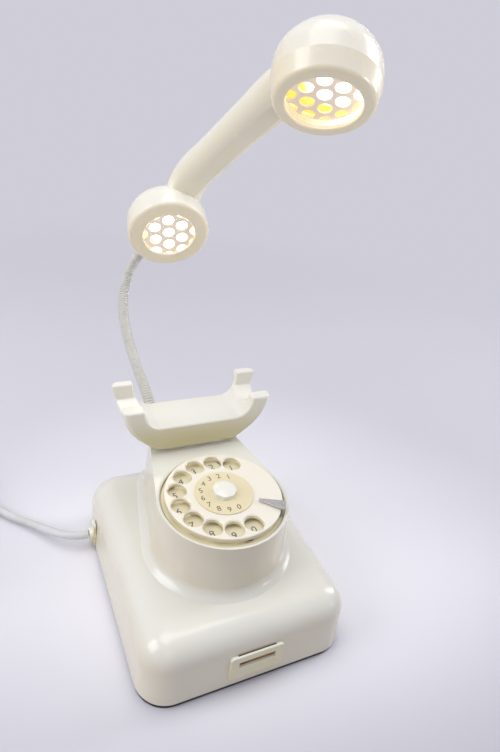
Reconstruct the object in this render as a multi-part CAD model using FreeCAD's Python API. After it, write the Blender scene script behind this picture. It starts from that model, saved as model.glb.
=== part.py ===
import FreeCAD, Part
import math
import os

V = FreeCAD.Vector
Z_UP = V(0, 0, 1)
ORIGIN = V(0, 0, 0)

# Base and housing
BASE_WIDTH = 144.6
BASE_DEPTH = 175.4
BACK_Y = BASE_DEPTH / 2
CORNER_RADIUS = 21.0
FOOT_DEPTH = 1.6
FOOT_RADIUS = 8.0
FOOT_GAP = 0.3
PLATE_THICKNESS = 3.6
PLATE_INSET = 0.8
WALL = 3.0
WALL_DRAFT = 5.5
SHOULDER_RADIUS = 17.0
DECK_HEIGHT = 46.9
FLARE_RADIUS = 10.5
FLARE_SWEEP = 72.0
SCREW_INSET = 14.0
SCREW_RADIUS = 1.5
SCREW_BOSS_RADIUS = 4.5
SCREW_BOSS_HEIGHT = 16.0
SCREW_HEAD_RADIUS = 3.0
SCREW_HEAD_HEIGHT = 1.4
SCREW_HEAD_RECESS = 1.6

# Dial: the frame's origin is the centre of the finger wheel's top face
DIAL_Y = -12.3
DIAL_Z = 93.3
DIAL_TILT = 2.0
COLLAR_RADIUS = 44.4
COLLAR_BORE = 41.8
COLLAR_DROP = 3.6
COLLAR_LIP_ROUND = 1.6
PAN_SEAT_DROP = 8.0
PAN_LEDGE_RADIUS = 39.6
TOWER_DRAFT = 2.4
TOWER_REAR_HALF = 31.0
TOWER_REAR_INSET = 18.5
TOWER_REAR_Y = BACK_Y - TOWER_REAR_INSET
TOWER_REAR_ROUND = 13.0
WHEEL_RADIUS = 39.6
WHEEL_THICKNESS = 3.0
WHEEL_EDGE_ROUND = 1.0
HOLE_CIRCLE = 31.0
HOLE_RADIUS = 6.4
HOLE_COUNT = 10
HOLE_PITCH = 25.4
FIRST_HOLE = 32.0
DISC_RADIUS = 19.8
DISC_THICKNESS = 0.8
CAP_RADIUS = 8.2
CAP_HEIGHT = 4.4
CAP_SIDES = 8
CAP_CORNER_ROUND = 2.0
NUMBER_PLATE_THICKNESS = 1.0
PAN_FLANGE = 1.6
PAN_RADIUS = 34.0
PAN_WALL = 1.5
PAN_DEPTH = 21.0
DIAL_SCREW_ANGLES = (19.3, 176.1, 302.9)
STOP_ANGLE = 124.0
STOP_INNER = 23.5
STOP_WIDTH = 8.0
STOP_TIP_WIDTH = 1.2
STOP_THICKNESS = 1.2
STOP_LIFT = 0.9
SHAFT_RADIUS = 3.0
SHAFT_CLEARANCE = 0.06
GEAR_MODULE = 1.0
GEAR_TEETH = 36
PINION_TEETH = 12
GEAR_THICKNESS = 3.0
GEAR_BACKLASH = 0.25
BARREL_RADIUS = 13.0
BARREL_HEIGHT = 5.0
GOVERNOR_RADIUS = 4.6
GOVERNOR_HEIGHT = 5.0

# Neck and cradle
NECK_HALF = 27.0
NECK_FRONT_INSET = 42.5
NECK_FRONT_Y = BACK_Y - NECK_FRONT_INSET
NECK_BACK_INSET = 20.5
NECK_BACK_Y = BACK_Y - NECK_BACK_INSET
NECK_TOP_Z = 98.5
NECK_FLARE_HALF = 31.0
NECK_FLARE_INSET = 56.1
NECK_FLARE_FRONT_Y = BACK_Y - NECK_FLARE_INSET
NECK_FLARE_TOP_Z = 92.0
CRADLE_BOTTOM_Z = 96.0
CRADLE_SKIRT_GAP = 0.8
CRADLE_SKIRT_WALL = 2.6
CRADLE_TRAVEL = 3.2
CRADLE_SCREW_GRIP = 8.0
SADDLE_Z = 114.5
SADDLE_HALF = 40.0
SADDLE_ROUND = 13.0
HORN_TOP_Z = 134.5
HORN_FRONT_Z = 129.5
HORN_BACK_Z = 133.3
HORN_OUTER = 56.0
HORN_ROUND = 1.6
CRADLE_FRONT_INSET = 48.0
CRADLE_FRONT_Y = BACK_Y - CRADLE_FRONT_INSET
CRADLE_BACK_INSET = 7.5
CRADLE_BACK_Y = BACK_Y - CRADLE_BACK_INSET
HORN_DIP_FRONT_INSET = 39.0
HORN_DIP_FRONT_Y = BACK_Y - HORN_DIP_FRONT_INSET
HORN_DIP_BACK_INSET = 17.0
HORN_DIP_BACK_Y = BACK_Y - HORN_DIP_BACK_INSET
HORN_DIP_Z = 119.0
PLUNGER_SPACING = 36.0
PLUNGER_RADIUS = 3.0
PLUNGER_INSET = 31.5
PLUNGER_Y = BACK_Y - PLUNGER_INSET
CROSSBAR_Z = 62.0
CROSSBAR_HEIGHT = 5.0
CROSSBAR_DEPTH = 8.0
SPRING_RADIUS = 4.0
SPRING_WIRE = 1.0
SPRING_TURNS = 6
LEVER_LENGTH = 18.0
LEVER_TIP = 2.0
NUB_X = 12.0
NUB_RADIUS = 1.5
NUB_LENGTH = 5.0
NUB_GAP = 0.4
SPRING_X = -15.5
LEVER_THICKNESS = 2.0
LEVER_WIDTH = 6.0
LEVER_PIN_RADIUS = 1.5

# Front card frame
CARD_WIDTH = 37.0
CARD_HEIGHT = 19.0
CARD_BOTTOM_Z = 10.5
CARD_FRAME_THICKNESS = 2.2
CARD_SLOT_WIDTH = 25.0
CARD_SLOT_HEIGHT = 4.4
CARD_SLOT_Z = 20.5

# Gooseneck
HOSE_RADIUS = 4.2
HOSE_ROOT_RADIUS = 3.7
HOSE_BORE = 2.6
HOSE_RIBS = 84
HOSE_INSET = 7.5
HOSE_START = V(-17.0, BACK_Y - HOSE_INSET, 74.0)
HOSE_START_DIRECTION = V(-0.12, 0.08, 1.0)
HOSE_START_PULL = 53.7
HOSE_END_PULL = 79.7
HOSE_END_GAP = 0.3
LEAD_RADIUS = 1.6
GLAND_RADIUS = 6.5
GLAND_HEIGHT = 24.0
GLAND_THREAD_RADIUS = 4.2
GLAND_NUT_RADIUS = 6.4
GLAND_NUT_HEIGHT = 4.0
BOSS_RADIUS = 8.0
BOSS_DEPTH = 18.0

# Handset: X runs along the handle from mouthpiece to earpiece, Z away from the faces
HANDSET_CENTRE = V(26.12, 84.39, 273.23)
HANDSET_X = V(0.31307, -0.66746, 0.67564)
HANDSET_Z = V(0.21351, 0.74265, 0.63473)
CUP_SPACING = 158.7
MOUTH_TILT = 16.2
EAR_TILT = 12.7
MOUTH_RADIUS = 30.4
EAR_RADIUS = 29.6
MOUTH_OPENING = 19.4
EAR_OPENING = 21.8
CAP_DEPTH = 12.0
CAP_WALL = 2.6
CAP_ROUND = 3.0
EAR_RING_RADIUS = 31.6
EAR_RING_HEIGHT = 8.0
MOUTH_DOME = 23.0
EAR_DOME = 26.5
SHELL_WALL = 3.0
SPIGOT_LENGTH = 5.0
SPIGOT_WALL = 2.0
THREAD_GAP = 0.15
GRILLE_THICKNESS = 1.2
MOUTH_GRILLE_HOLE = 4.5
MOUTH_GRILLE_PITCH = 10.5
EAR_GRILLE_HOLE = 4.8
EAR_GRILLE_PITCH = 12.6
HANDLE_HALF = 13.3
HANDLE_FLAT_HALF = 5.5
HANDLE_FLAT_Z = 26.0
HANDLE_EAR_SPREAD = 1.8
HANDLE_SIDE = 11.5
HANDLE_ARCH = 3.0
HANDLE_LENGTH = 120.0
HANDLE_BORE = 4.5
LAMP_RADIUS = 17.4
LAMP_FRONT = 6.5
LAMP_RIM = 5.0
LAMP_BODY = 10.0
HOLDER_FRONT = 23.5
HOLDER_RADIUS = 6.5
LAMP_NECK_RADIUS = 5.0
FERRULE_RADIUS = 4.8
FERRULE_FLANGE = 6.8
FERRULE_BACK = 19.5
FERRULE_STANDOUT = 8.0
FERRULE_SEAT = 0.4
FERRULE_NUT_RADIUS = 6.4
FERRULE_NUT_HEIGHT = 3.0

# Mains lead
CORD_RADIUS = 3.0
BUSH_INSET = 33.7
BUSH_Y = BACK_Y - BUSH_INSET
BUSH_Z = 13.0
CORD_START = V(-60.0, BUSH_Y, BUSH_Z)
CORD_ROUTE = [
    V(-90.0, BUSH_Y, BUSH_Z),
    V(-114.0, 85.0, 4.6),
    V(-134.0, 104.0, 4.0),
]
CORD_LAST_RUN = 18.0
BUSH_FLANGE_WIDTH = 9.0
BUSH_FLANGE_HEIGHT = 22.0
BUSH_FLANGE_THICKNESS = 1.8
BUSH_LENGTH = 4.0
BUSH_TIP_RADIUS = 4.4
BUSH_ROOT_RADIUS = 5.2
COIL_CENTRE = V(-196.0, 128.0, 4.5)
COIL_TURNS = 4
COIL_PITCH = 6.6
COIL_OUTER = 44.8
COIL_START_ANGLE = 20.0
TIE_WIDTH = 9.0
TIE_THICKNESS = 0.9
TIE_GAP = 0.3
TIE_TURN = 0.3
TAIL_LENGTH = 30.0
PLUG_LENGTH = 36.0
PLUG_WIDTH = 30.0
PLUG_HEIGHT = 18.0
PIN_RADIUS = 2.0
PIN_LENGTH = 19.2
PIN_ROOT_RADIUS = 1.5
PIN_ROOT_STEP = 0.3
PIN_TIP_ROUND = 0.9
PIN_SPACING = 18.6

# Pieces on the base plate
CLAMP_INSET = 12.0
CLAMP_LENGTH = 8.0
CLAMP_WIDTH = 16.0
TERMINAL_INSET = 24.0
TERMINAL_LENGTH = 14.0
TERMINAL_WIDTH = 18.0
TERMINAL_HEIGHT = 12.0
TERMINAL_GAP = 1.8
DRIVER_INSET = 25.7
DRIVER_WIDTH = 56.0
DRIVER_LENGTH = 42.0
DRIVER_HEIGHT = 24.0

PLATE_TOP_Z = PLATE_THICKNESS
CURVE_STEPS = 40


def rounded_rectangle(half_x, y0, y1, radius, z):
    """Closed wire of a rounded rectangle, straddling X = 0, at height z."""
    corners = [(half_x, y0, -90), (half_x, y1, 0), (-half_x, y1, 90), (-half_x, y0, 180)]
    arcs = []
    for x, y, start in corners:
        cx = x - math.copysign(radius, x)
        cy = y + radius if y == y0 else y - radius
        points = []
        for step in (0, 45, 90):
            angle = math.radians(start + step)
            points.append(V(cx + radius * math.cos(angle), cy + radius * math.sin(angle), z))
        arcs.append(points)
    edges = []
    for index, points in enumerate(arcs):
        edges.append(Part.Arc(*points).toShape())
        following = arcs[(index + 1) % len(arcs)][0]
        edges.append(Part.LineSegment(points[2], following).toShape())
    return Part.Wire(edges)


def prism(wire, direction):
    """Solid swept straight from a flat closed wire."""
    return Part.Face(wire).extrude(direction)


def revolved(profile):
    """Solid of revolution about Z from (radius, height) points; a triple is an arc's middle point."""
    edges = []
    previous = None
    pending = None
    for point in profile + profile[:1]:
        here = V(point[0], 0, point[1])
        if len(point) == 3:
            pending = here
            continue
        if previous is not None and pending is not None:
            edges.append(Part.Arc(previous, pending, here).toShape())
        elif previous is not None and previous.distanceToPoint(here) > 1e-6:
            edges.append(Part.LineSegment(previous, here).toShape())
        previous = here
        pending = None
    return turned(Part.Wire(edges))


def turned(wire):
    """Full turn of a closed profile about Z, with its faces looking outwards."""
    solid = Part.Face(wire).revolve(ORIGIN, Z_UP, 360)
    if solid.Volume < 0:
        solid.reverse()
    return solid


def cylinder(radius, z0, z1, x=0.0, y=0.0):
    return Part.makeCylinder(radius, z1 - z0, V(x, y, z0))


def tube(outer, inner, z0, z1, x=0.0, y=0.0):
    return cylinder(outer, z0, z1, x, y).cut(cylinder(inner, z0, z1, x, y))


def box(x0, x1, y0, y1, z0, z1):
    return Part.makeBox(abs(x1 - x0), y1 - y0, z1 - z0, V(min(x0, x1), y0, z0))


def frame_placement(origin, x_axis, z_axis):
    """Placement whose Z is z_axis and whose X is x_axis made square to it."""
    z_axis = V(z_axis).normalize()
    x_axis = V(x_axis) - z_axis * z_axis.dot(x_axis)
    x_axis.normalize()
    return FreeCAD.Placement(origin, FreeCAD.Rotation(x_axis, z_axis.cross(x_axis), z_axis, "ZXY"))


def placed(shape, placement):
    moved = shape.copy()
    moved.Placement = placement.multiply(moved.Placement)
    return moved


def circle_wire(placement, radius):
    wire = Part.Wire(Part.Circle(ORIGIN, Z_UP, radius).toShape())
    return placed(wire, placement)


def union(shapes):
    return shapes[0].multiFuse(shapes[1:]).removeSplitter()


def hexagon(radius, z0, z1):
    corners = []
    for step in range(7):
        angle = math.radians(60 * step)
        corners.append(V(radius * math.cos(angle), radius * math.sin(angle), z0))
    return prism(Part.makePolygon(corners), V(0, 0, z1 - z0))


DIAL = frame_placement(
    V(0, DIAL_Y, DIAL_Z),
    V(1, 0, 0),
    V(0, -math.sin(math.radians(DIAL_TILT)), math.cos(math.radians(DIAL_TILT))),
)
HANDSET = frame_placement(HANDSET_CENTRE, HANDSET_X, HANDSET_Z)


def deck_drop():
    """Depth of the deck below the finger wheel's top, along the dial axis."""
    return (DIAL_Z - DECK_HEIGHT) * math.cos(math.radians(DIAL_TILT))


def base_outline(inset, z):
    half = BASE_WIDTH / 2 - inset
    return rounded_rectangle(half, inset - BASE_DEPTH / 2, BASE_DEPTH / 2 - inset, CORNER_RADIUS - inset, z)


def on_level(edge, z):
    """True where every sampled point of an edge lies at height z."""
    return all(abs(point.z - z) < 1e-3 for point in edge.discretize(5))


def on_dial_plane(edge, drop):
    """True where every sampled point of an edge lies on the plane at this drop below the wheel's top."""
    inverse = DIAL.inverse()
    return all(abs(inverse.multVec(point).z + drop) < 1e-3 for point in edge.discretize(5))


def base_block(inset, deck, shoulder):
    """Drafted block of the base up to its level deck, with the top edge rounded."""
    draft = WALL_DRAFT * (deck - PLATE_TOP_Z) / full_height()
    block = Part.makeLoft([base_outline(inset, PLATE_TOP_Z), base_outline(inset + draft, deck)], True, True)
    rim = [edge for edge in block.Edges if on_level(edge, deck)]
    return block.makeFillet(shoulder, rim)


def full_height():
    """Height over which the walls draw in by the whole draft."""
    return DECK_HEIGHT + BASE_WIDTH / 4


def keyhole(grow, z):
    """Tower outline: round in front, tangent sides drawing in to two round rear corners."""
    front = COLLAR_RADIUS + grow
    rear = TOWER_REAR_ROUND + grow
    cx = TOWER_REAR_HALF - TOWER_REAR_ROUND
    cy = TOWER_REAR_Y - DIAL_Y - TOWER_REAR_ROUND
    normal = math.atan2(cy, cx) - math.acos((COLLAR_RADIUS - TOWER_REAR_ROUND) / math.hypot(cx, cy))
    nx, ny = math.cos(normal), math.sin(normal)
    middle = (normal + math.pi / 2) / 2
    mx, my = rear * math.cos(middle), rear * math.sin(middle)
    right, rear_right = V(front * nx, front * ny, z), V(cx + rear * nx, cy + rear * ny, z)
    left, rear_left = V(-right.x, right.y, z), V(-rear_right.x, rear_right.y, z)
    top_right, top_left = V(cx, cy + rear, z), V(-cx, cy + rear, z)
    return Part.Wire([
        Part.Arc(left, V(0, -front, z), right).toShape(),
        Part.LineSegment(right, rear_right).toShape(),
        Part.Arc(rear_right, V(cx + mx, cy + my, z), top_right).toShape(),
        Part.LineSegment(top_right, top_left).toShape(),
        Part.Arc(top_left, V(-cx - mx, cy + my, z), rear_left).toShape(),
        Part.LineSegment(rear_left, left).toShape(),
    ])


def tower_grow(drop):
    """How far the drafted tower has spread at this depth below the finger wheel's top."""
    return TOWER_DRAFT * (drop - COLLAR_DROP) / (deck_drop() - COLLAR_DROP)


def tower_flare():
    """Concave foot of the tower, a loft of outlines that spread downwards onto the deck."""
    steps = 6
    rise = FLARE_RADIUS * math.sin(math.radians(FLARE_SWEEP))
    foot = DECK_HEIGHT - 0.5
    wires = [keyhole(tower_grow(deck_drop() - rise - 0.6) - 0.4, foot + rise + 0.6)]
    for step in range(steps + 1):
        angle = math.radians(FLARE_SWEEP * step / steps)
        height = rise - FLARE_RADIUS * math.sin(angle)
        spread = FLARE_RADIUS * (1 - math.cos(angle)) - 0.2 + tower_grow(deck_drop() - height)
        wires.append(keyhole(spread, foot + height))
    flare = Part.makeLoft(wires, True, False)
    skirt = prism(keyhole(spread, foot), V(0, 0, -4 * WALL))
    both = flare.fuse(skirt)
    axis_foot = DIAL.multVec(V(0, 0, -deck_drop()))
    both.translate(V(0, axis_foot.y, 0))
    return both


def collar_top(x, y):
    """World height of the collar plane over a point of the plan."""
    normal = DIAL.Rotation.multVec(Z_UP)
    point = DIAL.multVec(V(0, 0, -COLLAR_DROP))
    return point.z - (normal.x * (x - point.x) + normal.y * (y - point.y)) / normal.z


def neck_block():
    """Neck behind the dial: a flared foot on the collar plane and a plain upright top."""
    foot_z = collar_top(0, NECK_FLARE_FRONT_Y) - 1.0
    flare = Part.makeLoft(
        [
            rounded_rectangle(NECK_FLARE_HALF, NECK_FLARE_FRONT_Y, NECK_BACK_Y + 3.0, 9.0, foot_z),
            rounded_rectangle(NECK_HALF, NECK_FRONT_Y - 2.0, NECK_BACK_Y, 8.0, NECK_FLARE_TOP_Z),
        ],
        True,
        True,
    )
    top = rounded_rectangle(NECK_HALF, NECK_FRONT_Y - 2.0, NECK_BACK_Y, 8.0, NECK_FLARE_TOP_Z)
    return flare.fuse(prism(top, V(0, 0, NECK_TOP_Z - NECK_FLARE_TOP_Z)))


def plunger_positions():
    return [(-PLUNGER_SPACING / 2, PLUNGER_Y), (PLUNGER_SPACING / 2, PLUNGER_Y)]


def screw_positions():
    half_x = BASE_WIDTH / 2 - SCREW_INSET
    half_y = BASE_DEPTH / 2 - SCREW_INSET
    return [(x, y) for x in (-half_x, half_x) for y in (-half_y, half_y)]


def gland_axis():
    direction = V(HOSE_START_DIRECTION)
    return direction.normalize()


def gland_frame():
    """Frame whose origin is the foot of the gland on the boss and whose Z runs along the hose."""
    foot = HOSE_START - gland_axis() * (GLAND_HEIGHT + HOSE_END_GAP)
    return frame_placement(foot, V(1, 0, 0), gland_axis())


def neck_hollow():
    """Space inside the neck, under a roof that guides the plunger's rods."""
    roof = NECK_TOP_Z - 2 * WALL
    low = collar_top(0, NECK_FRONT_Y) - 4 * WALL
    wire = rounded_rectangle(NECK_HALF - WALL, NECK_FRONT_Y + 2.0, NECK_BACK_Y - WALL, 5.0, low)
    return prism(wire, V(0, 0, roof - low))


def make_housing():
    """Moulded shell: drafted block, flared tower, collar and neck over one hollow, with bosses inside."""
    buried = deck_drop() + WALL
    tower = Part.makeLoft([keyhole(tower_grow(buried), -buried), keyhole(0.0, -COLLAR_DROP)], True, True)
    outer = base_block(0.0, DECK_HEIGHT, SHOULDER_RADIUS)
    outer = outer.multiFuse([tower_flare(), placed(tower, DIAL), neck_block()])

    hollow = base_block(WALL, DECK_HEIGHT - WALL, SHOULDER_RADIUS - WALL)
    shrink = PAN_LEDGE_RADIUS - COLLAR_RADIUS
    deep = buried + 2 * WALL
    inner_tower = prism(keyhole(shrink, -deep), V(0, 0, deep - COLLAR_DROP - 2 * WALL))
    seat = cylinder(COLLAR_BORE, -PAN_SEAT_DROP, WHEEL_RADIUS)
    through = cylinder(PAN_LEDGE_RADIUS, -deep, -COLLAR_DROP)
    cuts = [hollow, neck_hollow()] + [placed(shape, DIAL) for shape in (inner_tower, seat, through)]
    shell = outer.cut(cuts[0].multiFuse(cuts[1:]))

    bosses = [placed(cylinder(BOSS_RADIUS, -BOSS_DEPTH, 0.0), gland_frame())]
    for x, y in screw_positions():
        bosses.append(cylinder(SCREW_BOSS_RADIUS, PLATE_TOP_Z, PLATE_TOP_Z + SCREW_BOSS_HEIGHT, x, y))
        web_end = x + math.copysign(SCREW_INSET - WALL - 2.5, x)
        bosses.append(box(x, web_end, y - 1.0, y + 1.0, PLATE_TOP_Z, PLATE_TOP_Z + SCREW_BOSS_HEIGHT))
    shell = shell.multiFuse(bosses)
    holes = [placed(cylinder(GLAND_THREAD_RADIUS, -2 * BOSS_DEPTH, WALL), gland_frame()),
             placed(cylinder(GLAND_RADIUS + 0.3, 0.0, GLAND_HEIGHT), gland_frame())]
    for x, y in screw_positions():
        holes.append(cylinder(SCREW_RADIUS, PLATE_TOP_Z, PLATE_TOP_Z + SCREW_BOSS_HEIGHT - WALL, x, y))
    for x, y in plunger_positions():
        holes.append(cylinder(PLUNGER_RADIUS + SHAFT_CLEARANCE, CROSSBAR_Z, HORN_TOP_Z, x, y))
    outside = V(-BASE_WIDTH / 2 - WALL, BUSH_Y, BUSH_Z)
    holes.append(Part.makeCylinder(bush_shank(), 6 * WALL, outside, V(1, 0, 0)))
    return fillet_lip(shell.cut(holes[0].multiFuse(holes[1:])))


def bush_shank():
    """Radius of the strain relief where it passes the wall."""
    return BUSH_ROOT_RADIUS - 1.0


def fillet_lip(shell):
    """Round the collar's outer and inner top edge."""
    rims = []
    for edge in shell.Edges:
        if not on_dial_plane(edge, COLLAR_DROP):
            continue
        middle = DIAL.inverse().multVec(edge.valueAt((edge.FirstParameter + edge.LastParameter) / 2))
        near_bore = abs(math.hypot(middle.x, middle.y) - COLLAR_BORE) < 0.1
        if near_bore and edge.Length > COLLAR_BORE:
            rims.append(edge)
    return shell.makeFillet(COLLAR_LIP_ROUND, rims)


def make_base_plate():
    """Flat plate with seats for the pads and sunk holes for the screws, all from below."""
    plate = prism(base_outline(PLATE_INSET, 0.0), V(0, 0, PLATE_THICKNESS))
    cuts = []
    for x, y in screw_positions():
        cuts.append(cylinder(SCREW_RADIUS + 0.2, -1.0, PLATE_TOP_Z + 1.0, x, y))
        cuts.append(cylinder(SCREW_HEAD_RADIUS + 0.2, -1.0, SCREW_HEAD_RECESS, x, y))
    for x, y in foot_positions():
        cuts.append(cylinder(FOOT_RADIUS, -1.0, FOOT_DEPTH, x, y))
    return plate.cut(cuts[0].multiFuse(cuts[1:]))


def foot_positions():
    half_x = BASE_WIDTH / 2 - 2.2 * SCREW_INSET
    half_y = BASE_DEPTH / 2 - 2.2 * SCREW_INSET
    return [(x, y) for x in (-half_x, half_x) for y in (-half_y, half_y)]


def make_feet():
    """Soft pads let into the plate, flush with its underside."""
    return Part.makeCompound([
        cylinder(FOOT_RADIUS - FOOT_GAP, 0.0, FOOT_DEPTH, x, y) for x, y in foot_positions()
    ])


def make_base_screws():
    screws = []
    for x, y in screw_positions():
        shank = cylinder(SCREW_RADIUS, SCREW_HEAD_RECESS, PLATE_TOP_Z + SCREW_BOSS_HEIGHT - WALL - 1.0)
        head = cylinder(SCREW_HEAD_RADIUS, SCREW_HEAD_RECESS - SCREW_HEAD_HEIGHT, SCREW_HEAD_RECESS)
        screw = shank.fuse(head).removeSplitter()
        screw.translate(V(x, y, 0))
        screws.append(screw)
    return Part.makeCompound(screws)


def front_wall(inset=0.0):
    """The front wall's height-to-Y line: its Y at the plate and its slope inwards with height."""
    return -BASE_DEPTH / 2 + inset, WALL_DRAFT / full_height()


def card_frame_placement():
    """Frame on the outer front wall: X to the right, Z outwards, origin at the frame's lower edge."""
    y, slope = front_wall()
    outwards = V(0, -1, slope).normalize()
    foot = V(0, y + slope * (CARD_BOTTOM_Z - PLATE_TOP_Z), CARD_BOTTOM_Z)
    return frame_placement(foot, V(1, 0, 0), outwards)


def card_plate(width, height, radius, z0, z1):
    """Rounded plate in the card frame, whose own Y runs up the wall."""
    return prism(rounded_rectangle(width / 2, 0.0, height, radius, z0), V(0, 0, z1 - z0))


def make_card_frame():
    plate = card_plate(CARD_WIDTH, CARD_HEIGHT, 2.4, 0.0, CARD_FRAME_THICKNESS)
    outer_edges = [edge for edge in plate.Edges if edge.BoundBox.ZMin > CARD_FRAME_THICKNESS - 1e-3]
    plate = plate.makeFillet(0.8, outer_edges)
    slot_low = CARD_SLOT_Z - CARD_BOTTOM_Z
    slot = box(-CARD_SLOT_WIDTH / 2, CARD_SLOT_WIDTH / 2, slot_low, slot_low + CARD_SLOT_HEIGHT,
               -1.0, CARD_FRAME_THICKNESS + 1.0)
    pocket = box(-CARD_SLOT_WIDTH / 2 - 2.0, CARD_SLOT_WIDTH / 2 + 2.0, slot_low - 1.5,
                 slot_low + CARD_SLOT_HEIGHT + 1.5, 0.0, 0.6)
    return placed(plate.cut(slot.fuse(pocket)), card_frame_placement())


def make_number_card():
    slot_low = CARD_SLOT_Z - CARD_BOTTOM_Z
    card = box(-CARD_SLOT_WIDTH / 2 - 1.9, CARD_SLOT_WIDTH / 2 + 1.9, slot_low - 1.4,
               slot_low + CARD_SLOT_HEIGHT + 1.4, 0.0, 0.5)
    return placed(card, card_frame_placement())


def hole_angles():
    """Clockwise angles of the finger holes from the dial's upper side, digit 1 first."""
    return [FIRST_HOLE - HOLE_PITCH * index for index in range(HOLE_COUNT)]


def polar(radius, clockwise):
    angle = math.radians(clockwise)
    return radius * math.sin(angle), radius * math.cos(angle)


def make_finger_wheel():
    disc = revolved([
        (SHAFT_RADIUS, 0.0),
        (WHEEL_RADIUS - WHEEL_EDGE_ROUND, 0.0),
        (WHEEL_RADIUS - 0.29 * WHEEL_EDGE_ROUND, -0.29 * WHEEL_EDGE_ROUND, "arc"),
        (WHEEL_RADIUS, -WHEEL_EDGE_ROUND),
        (WHEEL_RADIUS, -WHEEL_THICKNESS),
        (SHAFT_RADIUS, -WHEEL_THICKNESS),
    ])
    holes = []
    for angle in hole_angles():
        x, y = polar(HOLE_CIRCLE, angle)
        holes.append(cylinder(HOLE_RADIUS, -2 * WHEEL_THICKNESS, WHEEL_THICKNESS, x, y))
        flare = Part.makeCone(HOLE_RADIUS, HOLE_RADIUS + 0.8, 0.8, V(x, y, -0.8))
        holes.append(flare)
    return placed(disc.cut(holes[0].multiFuse(holes[1:])), DIAL)


def make_centre_disc():
    return placed(tube(DISC_RADIUS, SHAFT_RADIUS, 0.0, DISC_THICKNESS), DIAL)


def make_centre_cap():
    """Low eight-sided knob with a domed top."""
    corners = []
    for step in range(CAP_SIDES + 1):
        angle = math.radians(360.0 * step / CAP_SIDES + 22.5)
        corners.append(V(CAP_RADIUS * math.cos(angle), CAP_RADIUS * math.sin(angle), DISC_THICKNESS))
    knob = prism(Part.makePolygon(corners), V(0, 0, CAP_HEIGHT))
    upright = [edge for edge in knob.Edges if edge.BoundBox.ZLength > 0.9 * CAP_HEIGHT]
    knob = knob.makeFillet(CAP_CORNER_ROUND, upright)
    top = DISC_THICKNESS + CAP_HEIGHT
    dome = revolved([
        (0.0, DISC_THICKNESS),
        (CAP_RADIUS + 0.4, DISC_THICKNESS),
        (CAP_RADIUS + 0.4, DISC_THICKNESS + 0.62 * CAP_HEIGHT),
        (0.62 * CAP_RADIUS, top - 0.4, "arc"),
        (0.0, top),
    ])
    return placed(knob.common(dome), DIAL)


def make_dial_shaft():
    bottom = -PAN_SEAT_DROP - PAN_DEPTH
    return placed(cylinder(SHAFT_RADIUS, bottom, DISC_THICKNESS), DIAL)


def gear(teeth, bore, z0, z1, phase):
    """Spur gear with slim straight-flanked teeth, so that it runs with backlash."""
    pitch_radius = GEAR_MODULE * teeth / 2
    root = pitch_radius - 1.25 * GEAR_MODULE
    tip = pitch_radius + 0.85 * GEAR_MODULE
    half_pitch = (math.pi * GEAR_MODULE / 4 - GEAR_BACKLASH / 2) / pitch_radius
    points = []
    for index in range(teeth):
        middle = phase + 2 * math.pi * index / teeth
        flanks = ((root, -1.5), (tip, -0.55), (tip, 0.55), (root, 1.5))
        for radius, share in flanks:
            angle = middle + share * half_pitch
            points.append(V(radius * math.cos(angle), radius * math.sin(angle), z0))
    points.append(points[0])
    return prism(Part.makePolygon(points), V(0, 0, z1 - z0)).cut(cylinder(bore, z0, z1))


def gear_level():
    return -PAN_SEAT_DROP - BARREL_HEIGHT - 3.0


def pinion_offset():
    return GEAR_MODULE * (GEAR_TEETH + PINION_TEETH) / 2 + GEAR_BACKLASH / 2


def make_main_gear():
    top = gear_level()
    return placed(gear(GEAR_TEETH, SHAFT_RADIUS, top - GEAR_THICKNESS, top, 0.0), DIAL)


def make_spring_barrel():
    top = -PAN_SEAT_DROP - 1.0
    drum = tube(BARREL_RADIUS, SHAFT_RADIUS, top - BARREL_HEIGHT, top)
    return placed(drum, DIAL)


def make_governor_pinion():
    """Pinion and its spindle in one turned piece."""
    top = gear_level()
    phase = math.pi + math.pi / PINION_TEETH
    spindle_bottom = -PAN_SEAT_DROP - PAN_DEPTH
    teeth = gear(PINION_TEETH, 1.0, top - GEAR_THICKNESS, top, phase)
    spindle = cylinder(1.5, spindle_bottom, top + BARREL_HEIGHT)
    piece = teeth.fuse(spindle).removeSplitter()
    piece.translate(V(pinion_offset(), 0, 0))
    return placed(piece, DIAL)


def make_governor_drum():
    top = gear_level() - GEAR_THICKNESS - 1.2
    drum = tube(GOVERNOR_RADIUS, 1.5, top - GOVERNOR_HEIGHT, top)
    drum.translate(V(pinion_offset(), 0, 0))
    return placed(drum, DIAL)


def make_governor_bridge():
    """Upper bearing of the governor spindle, a plate hung from the pan's rim on two posts."""
    low = gear_level() + 1.6
    high = low + 1.6
    x = pinion_offset()
    plate = box(x - 4.0, x + 4.0, -16.0, 16.0, low, high)
    posts = cylinder(2.0, high, -PAN_SEAT_DROP, x, 13.0)
    posts = posts.fuse(cylinder(2.0, high, -PAN_SEAT_DROP, x, -13.0))
    bridge = plate.fuse(posts).cut(cylinder(1.5 + SHAFT_CLEARANCE, low - 1, high + 1, x, 0))
    return placed(bridge.removeSplitter(), DIAL)


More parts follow.
